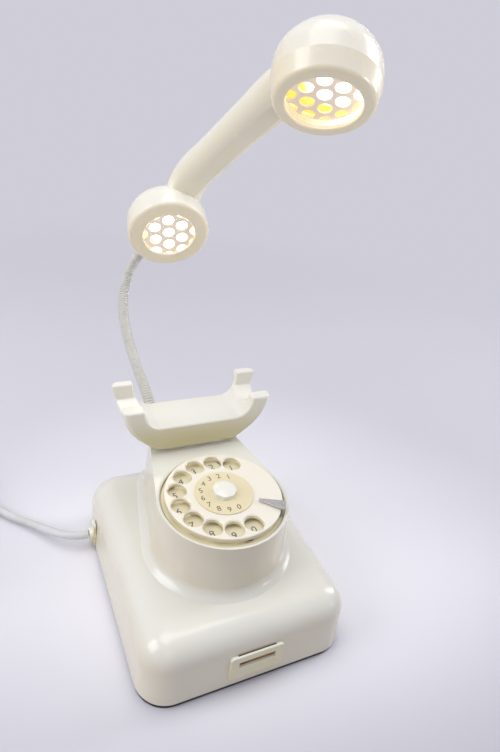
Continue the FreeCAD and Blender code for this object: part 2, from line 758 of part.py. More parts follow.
def make_dial_pan():
    """Fixed pan: a flange on the collar's ledge, and a cup whose floor carries both shafts."""
    top = -PAN_SEAT_DROP
    floor = top - PAN_DEPTH
    flange = tube(COLLAR_BORE - 0.2, SHAFT_RADIUS + 1.0, top, top + PAN_FLANGE)
    cup = cylinder(PAN_RADIUS, floor - PAN_WALL, top)
    cup = cup.cut(cylinder(PAN_RADIUS - PAN_WALL, floor, top))
    pan = flange.fuse(cup)
    pan = pan.cut(cylinder(SHAFT_RADIUS + SHAFT_CLEARANCE, floor - PAN_WALL, top + PAN_FLANGE))
    pan = pan.cut(cylinder(1.5 + SHAFT_CLEARANCE, floor - PAN_WALL, floor, pinion_offset(), 0))
    for x, y in dial_screw_positions():
        pan = pan.cut(cylinder(SCREW_RADIUS, top, top + PAN_FLANGE, x, y))
    return placed(pan.removeSplitter(), DIAL)


def dial_screw_positions():
    radius = (COLLAR_BORE + PAN_LEDGE_RADIUS) / 2 - 4.0
    return [polar(radius, angle) for angle in DIAL_SCREW_ANGLES]


def make_number_plate():
    bottom = -PAN_SEAT_DROP + PAN_FLANGE
    plate = tube(COLLAR_BORE - 0.6, SHAFT_RADIUS + 1.0, bottom, bottom + NUMBER_PLATE_THICKNESS)
    for x, y in dial_screw_positions():
        plate = plate.cut(cylinder(SCREW_RADIUS, bottom, bottom + NUMBER_PLATE_THICKNESS, x, y))
    return placed(plate, DIAL)


def make_dial_screws():
    screws = []
    seat = -PAN_SEAT_DROP + PAN_FLANGE + NUMBER_PLATE_THICKNESS
    for x, y in dial_screw_positions():
        shank = cylinder(SCREW_RADIUS - 0.05, -PAN_SEAT_DROP - 3.0, seat, x, y)
        head = cylinder(2 * SCREW_RADIUS, seat, seat + 1.2, x, y)
        screws.append(placed(shank.fuse(head).removeSplitter(), DIAL))
    return Part.makeCompound(screws)


def make_finger_stop():
    """Bent metal blade: a leg in the groove beside the wheel and a tapered arm over its top."""
    outer = COLLAR_BORE - 0.5
    inner = WHEEL_RADIUS + 0.5
    foot_z = -PAN_SEAT_DROP + PAN_FLANGE + NUMBER_PLATE_THICKNESS
    arm_z = STOP_LIFT
    half = STOP_WIDTH / 2
    tip = STOP_TIP_WIDTH / 2
    leg = box(inner, outer, -half, half, foot_z, arm_z + STOP_THICKNESS)
    arm_points = [V(STOP_INNER, -tip, arm_z), V(outer, -half, arm_z), V(outer, half, arm_z),
                  V(STOP_INNER, tip, arm_z), V(STOP_INNER, -tip, arm_z)]
    arm = prism(Part.makePolygon(arm_points), V(0, 0, STOP_THICKNESS))
    stop = leg.fuse(arm).removeSplitter()
    stop.rotate(ORIGIN, Z_UP, 90 - STOP_ANGLE)
    return placed(stop, DIAL)


CRADLE_SECTIONS = [
    (CRADLE_BOTTOM_Z, 34.6, NECK_FRONT_Y - 2.0 - CRADLE_SKIRT_GAP - CRADLE_SKIRT_WALL,
     NECK_BACK_Y + CRADLE_SKIRT_GAP + CRADLE_SKIRT_WALL, 8.0),
    (CRADLE_BOTTOM_Z + 5.0, 40.6, CRADLE_FRONT_Y, NECK_BACK_Y + 4.0, 7.0),
    (CRADLE_BOTTOM_Z + 13.0, 47.8, CRADLE_FRONT_Y - 0.4, NECK_BACK_Y + 5.0, 6.0),
    (SADDLE_Z + 5.0, 53.0, CRADLE_FRONT_Y - 0.4, NECK_BACK_Y + 7.0, 5.0),
    (HORN_TOP_Z, HORN_OUTER, CRADLE_FRONT_Y, CRADLE_BACK_Y, 5.0),
]


def make_cradle_fork():
    """Boat-shaped fork: a lofted body with a saddle across it and a dip between the sloping horns."""
    wires = [rounded_rectangle(half, y0, y1, radius, z) for z, half, y0, y1, radius in CRADLE_SECTIONS]
    body = Part.makeLoft(wires, True, False)
    above = HORN_TOP_Z + 20.0
    saddle_wall = rounded_saddle(SADDLE_HALF, SADDLE_Z, above, SADDLE_ROUND)
    saddle = prism(saddle_wall, V(0, 2 * CRADLE_BACK_Y, 0))
    dip = prism(dip_profile(above), V(4 * HORN_OUTER, 0, 0))
    fork = body.cut(horn_trim(above)).cut(saddle).cut(dip)
    rim = [edge for edge in fork.Edges if edge.BoundBox.ZMin > SADDLE_Z - 1.0]
    skirt = rounded_rectangle(NECK_HALF + CRADLE_SKIRT_GAP, NECK_FRONT_Y - 2.0 - CRADLE_SKIRT_GAP,
                              NECK_BACK_Y + CRADLE_SKIRT_GAP, 8.0, CRADLE_BOTTOM_Z - 1.0)
    fork = soften(fork, rim, HORN_ROUND)
    fork = fork.cut(prism(skirt, V(0, 0, skirt_roof() - CRADLE_BOTTOM_Z + 1.0)))
    for x, y in plunger_positions():
        fork = fork.cut(cylinder(SCREW_RADIUS, CRADLE_BOTTOM_Z, skirt_roof() + CRADLE_SCREW_GRIP + 0.5, x, y))
    return fork


def horn_trim(top):
    """Space above the horns, whose tops slope down to the front."""
    slope = (HORN_BACK_Z - HORN_FRONT_Z) / (CRADLE_BACK_Y - CRADLE_FRONT_Y)
    y0, y1 = CRADLE_FRONT_Y - 20.0, CRADLE_BACK_Y + 20.0
    x = -2 * HORN_OUTER
    z0, z1 = HORN_FRONT_Z - 20.0 * slope, HORN_BACK_Z + 20.0 * slope
    profile = Part.makePolygon([V(x, y0, z0), V(x, y1, z1), V(x, y1, top), V(x, y0, top), V(x, y0, z0)])
    return prism(profile, V(4 * HORN_OUTER, 0, 0))


def soften(shape, edges, radius):
    return shape.makeFillet(radius, edges)


def rounded_saddle(half, floor, top, radius):
    """Trough profile in the X-Z plane, flat in the middle with round corners, flaring upwards."""
    lean = 2.0
    points = [V(-half - lean, 0, top), V(-half, 0, floor + radius)]
    corner = V(-half + 0.29 * radius, 0, floor + 0.29 * radius)
    low = V(-half + radius, 0, floor)
    edges = [
        Part.LineSegment(points[0], points[1]).toShape(),
        Part.Arc(points[1], corner, low).toShape(),
        Part.LineSegment(low, V(-low.x, 0, floor)).toShape(),
        Part.Arc(V(-low.x, 0, floor), V(-corner.x, 0, corner.z), V(half, 0, floor + radius)).toShape(),
        Part.LineSegment(V(half, 0, floor + radius), V(half + lean, 0, top)).toShape(),
        Part.LineSegment(V(half + lean, 0, top), points[0]).toShape(),
    ]
    return Part.Wire(edges)


def dip_profile(top):
    """Round-bottomed notch in the Y-Z plane between the front and the back horns."""
    x = -2 * HORN_OUTER
    front, back, floor = HORN_DIP_FRONT_Y, HORN_DIP_BACK_Y, HORN_DIP_Z
    middle = V(x, (front + back) / 2, floor)
    rise = floor + 3.0
    edges = [
        Part.LineSegment(V(x, front - 2.0, top), V(x, front, rise)).toShape(),
        Part.Arc(V(x, front, rise), middle, V(x, back, rise)).toShape(),
        Part.LineSegment(V(x, back, rise), V(x, back + 4.0, top)).toShape(),
        Part.LineSegment(V(x, back + 4.0, top), V(x, front - 2.0, top)).toShape(),
    ]
    return Part.Wire(edges)


def skirt_roof():
    return NECK_TOP_Z + CRADLE_TRAVEL + CRADLE_SKIRT_GAP


def crossbar_bottom():
    return CROSSBAR_Z - CROSSBAR_HEIGHT


def make_cradle_plunger():
    """Two hollow guide rods on a crossbar, with a nub below it that pushes the lever."""
    half = PLUNGER_SPACING / 2 + PLUNGER_RADIUS
    low = crossbar_bottom()
    bar = box(-half, half, PLUNGER_Y - CROSSBAR_DEPTH / 2, PLUNGER_Y + CROSSBAR_DEPTH / 2, low, CROSSBAR_Z)
    pieces = [bar, cylinder(NUB_RADIUS, low - NUB_LENGTH, low, NUB_X, PLUNGER_Y)]
    cuts = []
    for x, y in plunger_positions():
        pieces.append(cylinder(PLUNGER_RADIUS, CROSSBAR_Z, skirt_roof(), x, y))
        cuts.append(cylinder(SCREW_RADIUS + 0.1, low - 1.0, skirt_roof() + 1.0, x, y))
        cuts.append(cylinder(SCREW_HEAD_RADIUS + 0.2, low - 1.0, low + SCREW_HEAD_RECESS, x, y))
    return union(pieces).cut(cuts[0].multiFuse(cuts[1:]))


def make_cradle_screws():
    """Long screws up through the rods into the fork, their heads sunk in the crossbar."""
    screws = []
    seat = crossbar_bottom() + SCREW_HEAD_RECESS
    for x, y in plunger_positions():
        shank = cylinder(SCREW_RADIUS, seat, skirt_roof() + CRADLE_SCREW_GRIP, x, y)
        head = cylinder(SCREW_HEAD_RADIUS, seat - SCREW_HEAD_HEIGHT, seat, x, y)
        screws.append(shank.fuse(head).removeSplitter())
    return Part.makeCompound(screws)


def spring_top():
    return crossbar_bottom() - 0.3


def bracket_floor():
    return PLATE_TOP_Z + 24.0


def make_cradle_spring():
    """Open helical spring between the bracket's floor and the crossbar."""
    height = spring_top() - bracket_floor() - SPRING_WIRE - 0.1
    helix = Part.makeHelix(height / SPRING_TURNS, height, SPRING_RADIUS)
    profile = Part.Wire(Part.Circle(V(SPRING_RADIUS, 0, 0), V(0, 1, 0), SPRING_WIRE / 2).toShape())
    spring = Part.Wire(helix).makePipeShell([profile], True, True)
    spring.translate(V(SPRING_X, PLUNGER_Y, bracket_floor() + SPRING_WIRE / 2 + 0.05))
    return spring


def lever_pivot():
    """Pin centre: the lever lies under the crossbar's nub."""
    return V(NUB_X - LEVER_LENGTH, PLUNGER_Y, crossbar_bottom() - NUB_LENGTH - NUB_GAP - LEVER_THICKNESS)


def make_hook_bracket():
    """Stamped bracket: a stem on the base plate, a floor under the spring and a fork for the lever pin."""
    floor = bracket_floor()
    y0, y1 = PLUNGER_Y - 7.0, PLUNGER_Y + 7.0
    pivot = lever_pivot()
    left, right = SPRING_X - 7.0, PLUNGER_SPACING / 2
    stem = box(left, left + 2.0, y0, y1, PLATE_TOP_Z, floor)
    foot = box(terminal_end() + TERMINAL_GAP, left + 2.0, y0, y1, PLATE_TOP_Z, PLATE_TOP_Z + 2.0)
    shelf = box(left, right, y0, y1, floor - 2.0, floor)
    cheeks = []
    for y in (y0, y1 - 2.0):
        cheeks.append(box(pivot.x - 3.5, pivot.x + 3.5, y, y + 2.0, floor - 2.0, pivot.z + 3.0))
    bracket = union([stem, foot, shelf] + cheeks)
    return bracket.cut(make_lever_pin())


def make_lever_pin():
    pivot = lever_pivot()
    return Part.makeCylinder(LEVER_PIN_RADIUS, 14.0, V(pivot.x, PLUNGER_Y - 7.0, pivot.z), V(0, 1, 0))


def make_hook_lever():
    """Flat lever with a hub on the pin; its end lies under the crossbar's nub."""
    pivot = lever_pivot()
    y0 = PLUNGER_Y - LEVER_WIDTH / 2
    end = pivot.x + LEVER_LENGTH + LEVER_TIP
    arm = box(pivot.x, end, y0, y0 + LEVER_WIDTH, pivot.z, pivot.z + LEVER_THICKNESS)
    hub = Part.makeCylinder(LEVER_THICKNESS, LEVER_WIDTH, V(pivot.x, y0, pivot.z), V(0, 1, 0))
    running = LEVER_PIN_RADIUS + SHAFT_CLEARANCE
    pin_hole = Part.makeCylinder(running, LEVER_WIDTH, V(pivot.x, y0, pivot.z), V(0, 1, 0))
    return arm.fuse(hub).removeSplitter().cut(pin_hole)


def make_contact_stack():
    """Insulated stack of contact blades on the bracket's shelf, below the lever."""
    floor = bracket_floor()
    pivot = lever_pivot()
    y0 = PLUNGER_Y - 4.0
    height = pivot.z - floor - CRADLE_TRAVEL - 2.5
    block = box(pivot.x + 5.0, pivot.x + 12.0, y0, y0 + 8.0, floor, floor + height)
    blades = []
    for level in (floor + 0.6 * height, floor + 0.8 * height):
        blades.append(box(pivot.x + 5.0, pivot.x + 16.0, y0 + 1.0, y0 + 7.0, level, level + 0.5))
    return union([block] + blades)


def make_hose_gland():
    """Threaded nipple through the boss with a rounded collar that the hose stands on."""
    profile = [
        (GLAND_THREAD_RADIUS - 1.4, -BOSS_DEPTH - GLAND_NUT_HEIGHT - 1.5),
        (GLAND_THREAD_RADIUS, -BOSS_DEPTH - GLAND_NUT_HEIGHT - 1.5),
        (GLAND_THREAD_RADIUS, 0.0),
        (GLAND_RADIUS, 0.0),
        (GLAND_RADIUS, 0.7 * GLAND_HEIGHT),
        (HOSE_RADIUS + 0.8, GLAND_HEIGHT),
        (GLAND_THREAD_RADIUS - 1.4, GLAND_HEIGHT),
    ]
    return placed(revolved(profile), gland_frame())


def make_gland_nut():
    top = -BOSS_DEPTH
    nut = hexagon(GLAND_NUT_RADIUS, top - GLAND_NUT_HEIGHT, top).cut(
        cylinder(GLAND_THREAD_RADIUS, top - GLAND_NUT_HEIGHT, top)
    )
    return placed(nut, gland_frame())


def hose_curve():
    """The four control points of the gooseneck's centre line, a cubic curve from gland to ferrule."""
    ferrule = ferrule_frame()
    end = ferrule.multVec(V(0, 0, FERRULE_STANDOUT + HOSE_END_GAP))
    outwards = ferrule.Rotation.multVec(Z_UP)
    return [
        HOSE_START,
        HOSE_START + gland_axis() * HOSE_START_PULL,
        end + outwards * HOSE_END_PULL,
        end,
    ]


def hose_point(share):
    a, b, c, d = hose_curve()
    rest = 1 - share
    point = a * rest ** 3 + b * (3 * rest ** 2 * share) + c * (3 * rest * share ** 2) + d * share ** 3
    slope = (b - a) * (3 * rest ** 2) + (c - b) * (6 * rest * share) + (d - c) * (3 * share ** 2)
    return point, slope


def hose_shares(count):
    """Curve parameters of evenly spaced stations along the gooseneck."""
    fine = 10 * CURVE_STEPS
    lengths = [0.0]
    previous = hose_point(0.0)[0]
    for step in range(1, fine + 1):
        here = hose_point(step / fine)[0]
        lengths.append(lengths[-1] + here.distanceToPoint(previous))
        previous = here
    shares = []
    index = 0
    for station in range(count + 1):
        goal = lengths[-1] * station / count
        while index < fine - 1 and lengths[index + 1] < goal:
            index += 1
        span = lengths[index + 1] - lengths[index]
        shares.append((index + (goal - lengths[index]) / span) / fine)
    return shares, lengths[-1]


def hose_ring(share, radius):
    point, slope = hose_point(share)
    return circle_wire(frame_placement(point, V(1, 0, 0), slope), radius)


def make_gooseneck_hose():
    """Ribbed hose: four circles to a rib, ruled from one to the next, with a plain bore."""
    shares, length = hose_shares(4 * HOSE_RIBS)
    radii = (HOSE_ROOT_RADIUS, HOSE_RADIUS, HOSE_RADIUS, HOSE_ROOT_RADIUS)
    rings = [hose_ring(share, radii[index % 4]) for index, share in enumerate(shares)]
    hose = Part.makeLoft(rings, True, True)
    bore_shares, _ = hose_shares(CURVE_STEPS)
    bore = Part.makeLoft([hose_ring(share, HOSE_BORE) for share in bore_shares], True, True)
    print("gooseneck length", round(length, 1), "ribs", HOSE_RIBS)
    return hose.cut(bore)


def make_lamp_lead():
    shares, _ = hose_shares(CURVE_STEPS)
    return Part.makeLoft([hose_ring(share, LEAD_RADIUS) for share in shares], True, True)


def cup_frame(side):
    """Frame of one cup: origin at its face, Z back into the handset, X along the handle's plane."""
    tilt = math.radians(EAR_TILT if side > 0 else MOUTH_TILT)
    back = V(side * math.sin(tilt), 0, math.cos(tilt))
    local = frame_placement(V(side * CUP_SPACING / 2, 0, 0), V(1, 0, 0), back)
    return HANDSET.multiply(local)


def dome(radius, foot, base, height):
    """Solid cup back: straight from foot to base, then an oval of two tangent arcs to the crown."""
    rise = min(height, 0.97 * radius)
    start = base + height - rise
    corner = 0.75 * rise
    crown = ((radius - corner) ** 2 + rise ** 2 - corner ** 2) / (2 * (rise - corner))
    meet = math.atan2(crown - rise, radius - corner)
    crown_z = start + rise - crown

    def on_arc(centre_x, centre_z, bend, angle):
        return centre_x + bend * math.cos(angle), centre_z + bend * math.sin(angle)

    return revolved([
        (0.0, foot),
        (radius, foot),
        (radius, start),
        on_arc(radius - corner, start, corner, meet / 2) + ("arc",),
        on_arc(0.0, crown_z, crown, meet),
        on_arc(0.0, crown_z, crown, (meet + math.pi / 2) / 2) + ("arc",),
        (0.0, start + rise),
    ])


CUPS = {
    "mouthpiece": (-1, MOUTH_RADIUS, MOUTH_OPENING, MOUTH_RADIUS, 2.0, MOUTH_DOME),
    "earpiece": (1, EAR_RADIUS, EAR_OPENING, EAR_RING_RADIUS, EAR_RING_HEIGHT, EAR_DOME),
}


GRILLES = {
    "mouthpiece": (MOUTH_GRILLE_HOLE, MOUTH_GRILLE_PITCH),
    "earpiece": (EAR_GRILLE_HOLE, EAR_GRILLE_PITCH),
}


def handle_section(x):
    """Handle section at x: flat below with two ridges, straight to a round top."""
    share = 2 * x / HANDLE_LENGTH
    past = max(abs(x) - 0.4 * HANDLE_LENGTH, 0.0)
    droop = 0.045 if x < 0 else 0.022
    flat_z = HANDLE_FLAT_Z - HANDLE_ARCH * share ** 2 - droop * past ** 2
    half = HANDLE_HALF + 0.8 * share ** 2 + HANDLE_EAR_SPREAD * max(share, 0.0)
    waist_z = flat_z + HANDLE_SIDE
    run = half - HANDLE_FLAT_HALF
    bend = (run ** 2 + HANDLE_SIDE ** 2) / (2 * run)
    sweep = math.atan2(HANDLE_SIDE, bend - run) / 2
    cheek_y = half - bend + bend * math.cos(sweep)
    cheek_z = waist_z - bend * math.sin(sweep)
    crown = half * math.sqrt(0.5)
    edges = [
        Part.LineSegment(V(x, -HANDLE_FLAT_HALF, flat_z), V(x, HANDLE_FLAT_HALF, flat_z)).toShape(),
        Part.Arc(V(x, HANDLE_FLAT_HALF, flat_z), V(x, cheek_y, cheek_z), V(x, half, waist_z)).toShape(),
        Part.Arc(V(x, half, waist_z), V(x, crown, waist_z + crown), V(x, 0, waist_z + half)).toShape(),
        Part.Arc(V(x, 0, waist_z + half), V(x, -crown, waist_z + crown), V(x, -half, waist_z)).toShape(),
        Part.Arc(V(x, -half, waist_z), V(x, -cheek_y, cheek_z), V(x, -HANDLE_FLAT_HALF, flat_z)).toShape(),
    ]
    return Part.Wire(edges)


def make_handset_shell():
    """Moulded handset: two domed cups joined by the ridged handle, hollow for lamps and wires."""
    half = HANDLE_LENGTH / 2
    stations = (-1.14, -1.05, -0.95, -0.8, -0.5, 0.0, 0.5, 0.8, 0.95, 1.05, 1.14)
    sections = [handle_section(share * half) for share in stations]
    outer = [placed(Part.makeLoft(sections, True, False), HANDSET)]
    inner = []
    spigots = []
    seat = CAP_DEPTH
    for side, radius, opening, ring, ring_height, height in CUPS.values():
        frame = cup_frame(side)
        outer.append(placed(dome(ring, seat, seat + ring_height, height), frame))
        hollow = dome(ring - SHELL_WALL, seat - SPIGOT_LENGTH, seat + ring_height, height - SHELL_WALL)
        bore = radius - CAP_WALL - THREAD_GAP - SPIGOT_WALL
        inner.append(placed(hollow.common(cylinder(bore, 0, seat + ring_height).fuse(
            cylinder(ring, seat + ring_height / 2, seat + 4 * height))), frame))
        spigot = tube(radius - CAP_WALL - THREAD_GAP, bore, seat - SPIGOT_LENGTH, seat + 1.0)
        spigots.append(placed(spigot, frame))
    wires_z = HANDLE_FLAT_Z + HANDLE_SIDE - 5.0
    turn = V(2.0 - half, 0, wires_z)
    inner.append(placed(Part.makeCylinder(HANDLE_BORE, HANDLE_LENGTH, turn, V(1, 0, 0)), HANDSET))
    inner.append(placed(Part.makeCylinder(HANDLE_BORE - 0.5, 20.0, turn, V(-1, 0, -1)), HANDSET))
    inner.append(placed(cylinder(FERRULE_RADIUS, -CAP_DEPTH, CAP_DEPTH), ferrule_frame()))
    inner.append(placed(cylinder(FERRULE_FLANGE + 0.1, FERRULE_SEAT, CAP_DEPTH), ferrule_frame()))
    shell = outer[0].multiFuse(outer[1:])
    shell = shell.cut(handle_trim())
    shell = shell.cut(inner[0].multiFuse(inner[1:]))
    return shell.multiFuse(spigots).removeSplitter()


def handle_trim():
    """Space in front of both cups' seats, which the caps fill."""
    blocks = []
    for side, radius, opening, ring, ring_height, height in CUPS.values():
        blocks.append(placed(cylinder(ring + 1.0, -2 * ring, CAP_DEPTH), cup_frame(side)))
    return blocks[0].fuse(blocks[1])


def make_cap(side, radius, opening, ring):
    """Screwed cap: a rounded ring with a wide round opening, spreading to the cup's own radius."""
    bend = CAP_ROUND * (1 - math.sqrt(0.5))
    profile = [
        (opening, 0.6),
        (opening + 0.6, 0.0),
        (radius - CAP_ROUND, 0.0),
        (radius - bend, bend, "arc"),
        (radius, CAP_ROUND),
        (ring, CAP_DEPTH),
        (radius - CAP_WALL, CAP_DEPTH),
        (radius - CAP_WALL, CAP_WALL),
        (opening, CAP_WALL),
    ]
    return placed(revolved(profile), cup_frame(side))


def make_grille(side, radius, hole, pitch):
    """Perforated disc behind the cap's opening, with holes in a hexagonal pattern."""
    outer = radius - CAP_WALL - THREAD_GAP
    disc = cylinder(outer, CAP_WALL, CAP_WALL + GRILLE_THICKNESS)
    holes = []
    rows = int(outer // pitch) + 1
    for row in range(-rows, rows + 1):
        for column in range(-rows, rows + 1):
            x = pitch * (column + 0.5 * (row % 2))
            y = pitch * row * math.sqrt(0.75)
            if math.hypot(x, y) + hole < outer - 1.0:
                holes.append(cylinder(hole, 0, CAP_DEPTH, x, y))
    return placed(disc.cut(holes[0].multiFuse(holes[1:])), cup_frame(side))


def make_lamp(side):
    """Frosted lens lamp: a low dome on a drum, with its cap behind."""
    rim = LAMP_FRONT + LAMP_RIM
    back = LAMP_FRONT + LAMP_BODY
    return placed(revolved([
        (0.0, LAMP_FRONT),
        (0.6 * LAMP_RADIUS, LAMP_FRONT + 0.3 * LAMP_RIM, "arc"),
        (LAMP_RADIUS, rim),
        (LAMP_RADIUS, back),
        (LAMP_NECK_RADIUS, back + 2.0),
        (LAMP_NECK_RADIUS, HOLDER_FRONT + 2.0),
        (0.0, HOLDER_FRONT + 2.0),
    ]), cup_frame(side))


def make_holder(side, ring_height, height):
    """Lamp holder: a cup on a stem that seats on the inside of the dome."""
    back = CAP_DEPTH + ring_height + height - SHELL_WALL
    body = cylinder(HOLDER_RADIUS, HOLDER_FRONT, back + 2.0)
    socket = cylinder(LAMP_NECK_RADIUS, HOLDER_FRONT, HOLDER_FRONT + 2.0)
    ring = CUPS["earpiece" if side > 0 else "mouthpiece"][3]
    inside = dome(ring - SHELL_WALL, 0.0, CAP_DEPTH + ring_height, height - SHELL_WALL)
    return placed(body.common(inside).cut(socket), cup_frame(side))


def ferrule_frame():
    """Frame of the hose's upper fitting: origin on the mouth cup's side, Z outwards from the cup."""
    side, radius, opening, ring, ring_height, height = CUPS["mouthpiece"]
    rise = (FERRULE_BACK - CAP_DEPTH - ring_height) / height
    seat = ring * math.sqrt(1 - max(rise, 0.0) ** 2)
    local = frame_placement(V(-seat, 0, FERRULE_BACK), V(0, 1, 0), V(-1, 0, 0))
    return cup_frame(-1).multiply(local)


def make_hose_ferrule():
    profile = [
        (FERRULE_RADIUS - 1.6, -11.0),
        (FERRULE_RADIUS, -11.0),
        (FERRULE_RADIUS, FERRULE_SEAT),
        (FERRULE_FLANGE, FERRULE_SEAT),
        (FERRULE_FLANGE, 2.2),
        (HOSE_RADIUS + 0.9, 3.4),
        (HOSE_RADIUS + 0.7, FERRULE_STANDOUT),
        (FERRULE_RADIUS - 1.6, FERRULE_STANDOUT),
    ]
    return placed(revolved(profile), ferrule_frame())


def make_ferrule_nut():
    top = -SHELL_WALL - 4.2
    nut = hexagon(FERRULE_NUT_RADIUS, top - FERRULE_NUT_HEIGHT, top)
    return placed(nut.cut(cylinder(FERRULE_RADIUS, top - FERRULE_NUT_HEIGHT, top)), ferrule_frame())


def bush_tip():
    return V(-BASE_WIDTH / 2 - BUSH_LENGTH, BUSH_Y, BUSH_Z)


def make_cord_bush():
    """Flanged strain relief on the left wall, tapering along the lead."""
    wall_x = -BASE_WIDTH / 2 + 0.6
    outline = rounded_rectangle(BUSH_FLANGE_WIDTH / 2, -BUSH_FLANGE_HEIGHT / 2, BUSH_FLANGE_HEIGHT / 2, 2.5, 0.0)
    flange = prism(outline, V(0, 0, BUSH_FLANGE_THICKNESS))
    flange = placed(flange, frame_placement(V(wall_x, BUSH_Y, BUSH_Z), V(0, 1, 0), V(-1, 0, 0)))
    length = wall_x - bush_tip().x
    taper = revolved([
        (CORD_RADIUS, 0.0),
        (BUSH_ROOT_RADIUS, 0.0),
        (BUSH_ROOT_RADIUS, BUSH_FLANGE_THICKNESS + 1.0),
        (BUSH_TIP_RADIUS, length),
        (CORD_RADIUS, length),
    ])
    shank = tube(bush_shank(), CORD_RADIUS, -WALL - 3.0, 1.0)
    bore = cylinder(CORD_RADIUS, -1.0, length)
    toward = frame_placement(V(wall_x, BUSH_Y, BUSH_Z), V(0, 1, 0), V(-1, 0, 0))
    outside = flange.fuse(placed(taper, toward)).cut(base_block(0.0, DECK_HEIGHT, SHOULDER_RADIUS))
    return outside.fuse(placed(shank, toward)).cut(placed(bore, toward))


def rounded_path(points):
    """Straight runs joined by tangent arcs as large as the runs allow; prints the arcs' radii."""
    edges = []
    radii = []
    start = points[0]
    for index in range(1, len(points) - 1):
        corner = points[index]
        back = points[index - 1] - corner
        ahead = points[index + 1] - corner
        shorter = min(back.Length, ahead.Length)
        turn = math.pi - back.getAngle(ahead)
        reach = 0.45 * shorter
        radii.append(reach / math.tan(turn / 2))
        entry = corner + V(back).normalize() * reach
        leave = corner + V(ahead).normalize() * reach
        bisector = (V(back).normalize() + V(ahead).normalize()).normalize()
        inset = radii[-1] / math.cos(turn / 2) - radii[-1]
        edges.append(Part.LineSegment(start, entry).toShape())
        edges.append(Part.Arc(entry, corner + bisector * inset, leave).toShape())
        start = leave
    edges.append(Part.LineSegment(start, points[-1]).toShape())
    print("lead radii", [round(radius, 1) for radius in radii])
    return Part.Wire(edges)


def swept(path, radius):
    """Round tube along a wire; prints its volume against section times length."""
    first = path.OrderedEdges[0]
    point = first.valueAt(first.FirstParameter)
    tangent = first.tangentAt(first.FirstParameter)
    if (path.OrderedVertexes[0].Point - point).Length > 1e-6:
        point = first.valueAt(first.LastParameter)
        tangent = first.tangentAt(first.LastParameter) * -1
    ring = Part.Wire(Part.Circle(point, tangent, radius).toShape())
    solid = path.makePipeShell([ring], True, False)
    wanted = math.pi * radius ** 2 * path.Length
    print("tube length", round(path.Length, 1), "volume ratio", round(solid.Volume / wanted, 4))
    return solid


def coil_point(turn):
    """Centre of the lead in the coil: spirals in on the lower layer, climbs, and spirals out on the upper."""
    climb_start = COIL_TURNS - 0.5
    climb = 0.5
    if turn <= climb_start:
        inward = turn
    elif turn < climb_start + climb:
        along = turn - climb_start
        inward = climb_start + along - along ** 2 / climb
    else:
        inward = 2 * climb_start + climb - turn
    radius = COIL_OUTER - COIL_PITCH * inward
    share = min(max((turn - climb_start) / climb, 0.0), 1.0)
    height = COIL_PITCH * (3 * share ** 2 - 2 * share ** 3)
    angle = math.radians(COIL_START_ANGLE) + math.tau * turn
    return COIL_CENTRE + V(radius * math.cos(angle), radius * math.sin(angle), height)


def coil_tangent(turn):
    step = 1e-4
    return (coil_point(turn + step) - coil_point(turn - step)).normalize()


def cord_points():
    """Corner points of the lead from the clamp to the coil's first turn."""
    start = coil_point(0.0)
    return [CORD_START] + CORD_ROUTE + [start - coil_tangent(0.0) * CORD_LAST_RUN, start]


def arc_from(start, tangent, end):
    """Arc from start with this tangent to end, by its middle point."""
    chord = end - start
    along = V(chord).normalize()
    side = tangent - along * along.dot(tangent)
    bend = tangent.getAngle(chord)
    if side.Length < 1e-9:
        return Part.LineSegment(start, end).toShape()
    middle = (start + end) * 0.5 + V(side).normalize() * (chord.Length / 2 * math.tan(bend / 2))
    return Part.Arc(start, middle, end).toShape()


def biarc(p0, t0, p1, t1):
    """Two tangent arcs between two points with given directions."""
    v = p1 - p0
    both = v.dot(t0 + t1)
    spread = 2 * (1 - t0.dot(t1))
    reach = (math.sqrt(both ** 2 + spread * v.dot(v)) - both) / spread
    joint = (p0 + p1 + (t0 - t1) * reach) * 0.5
    return [arc_from(p0, t0, joint), arc_from(p1, t1 * -1, joint)]


def make_cord_coil():
    """The put-away length of the lead: two layers of turns in one unbroken tube."""
    turns = [step / 4 for step in range(8 * COIL_TURNS - 1)]
    edges = []
    for before, after in zip(turns, turns[1:]):
        edges += biarc(coil_point(before), coil_tangent(before), coil_point(after), coil_tangent(after))
    edges.append(Part.LineSegment(coil_point(turns[-1]), tail_end(turns[-1])).toShape())
    path = Part.Wire(Part.__sortEdges__(edges))
    samples = [coil_point(step / 48) for step in range(int(48 * turns[-1]) + 1)]
    least = min(
        a.distanceToPoint(b) for index, a in enumerate(samples) for b in samples[index + 30:]
    )
    print("coil gap", round(least - 2 * CORD_RADIUS, 2), "turns", turns[-1])
    return swept(path, CORD_RADIUS), turns[-1]


def make_cord_tie():
    """Strap round all the turns on one side of the coil."""
    inner_radius = COIL_OUTER - COIL_PITCH * COIL_TURNS
    r0 = inner_radius - CORD_RADIUS - TIE_GAP
    r1 = COIL_OUTER + CORD_RADIUS + TIE_GAP
    z0 = -CORD_RADIUS - TIE_GAP
    z1 = COIL_PITCH + CORD_RADIUS + TIE_GAP
    band = box(r0 - TIE_THICKNESS, r1 + TIE_THICKNESS, -TIE_WIDTH / 2, TIE_WIDTH / 2,
               z0 - TIE_THICKNESS, z1 + TIE_THICKNESS)
    upright = [edge for edge in band.Edges if edge.BoundBox.YLength > 0.9 * TIE_WIDTH]
    band = band.makeFillet(CORD_RADIUS, upright)
    hole = box(r0, r1, -TIE_WIDTH, TIE_WIDTH, z0, z1)
    along = [edge for edge in hole.Edges if edge.BoundBox.YLength > 0.9 * TIE_WIDTH]
    band = band.cut(hole.makeFillet(CORD_RADIUS - TIE_THICKNESS, along))
    band.rotate(ORIGIN, Z_UP, 360 * TIE_TURN)
    band.translate(COIL_CENTRE)
    return band


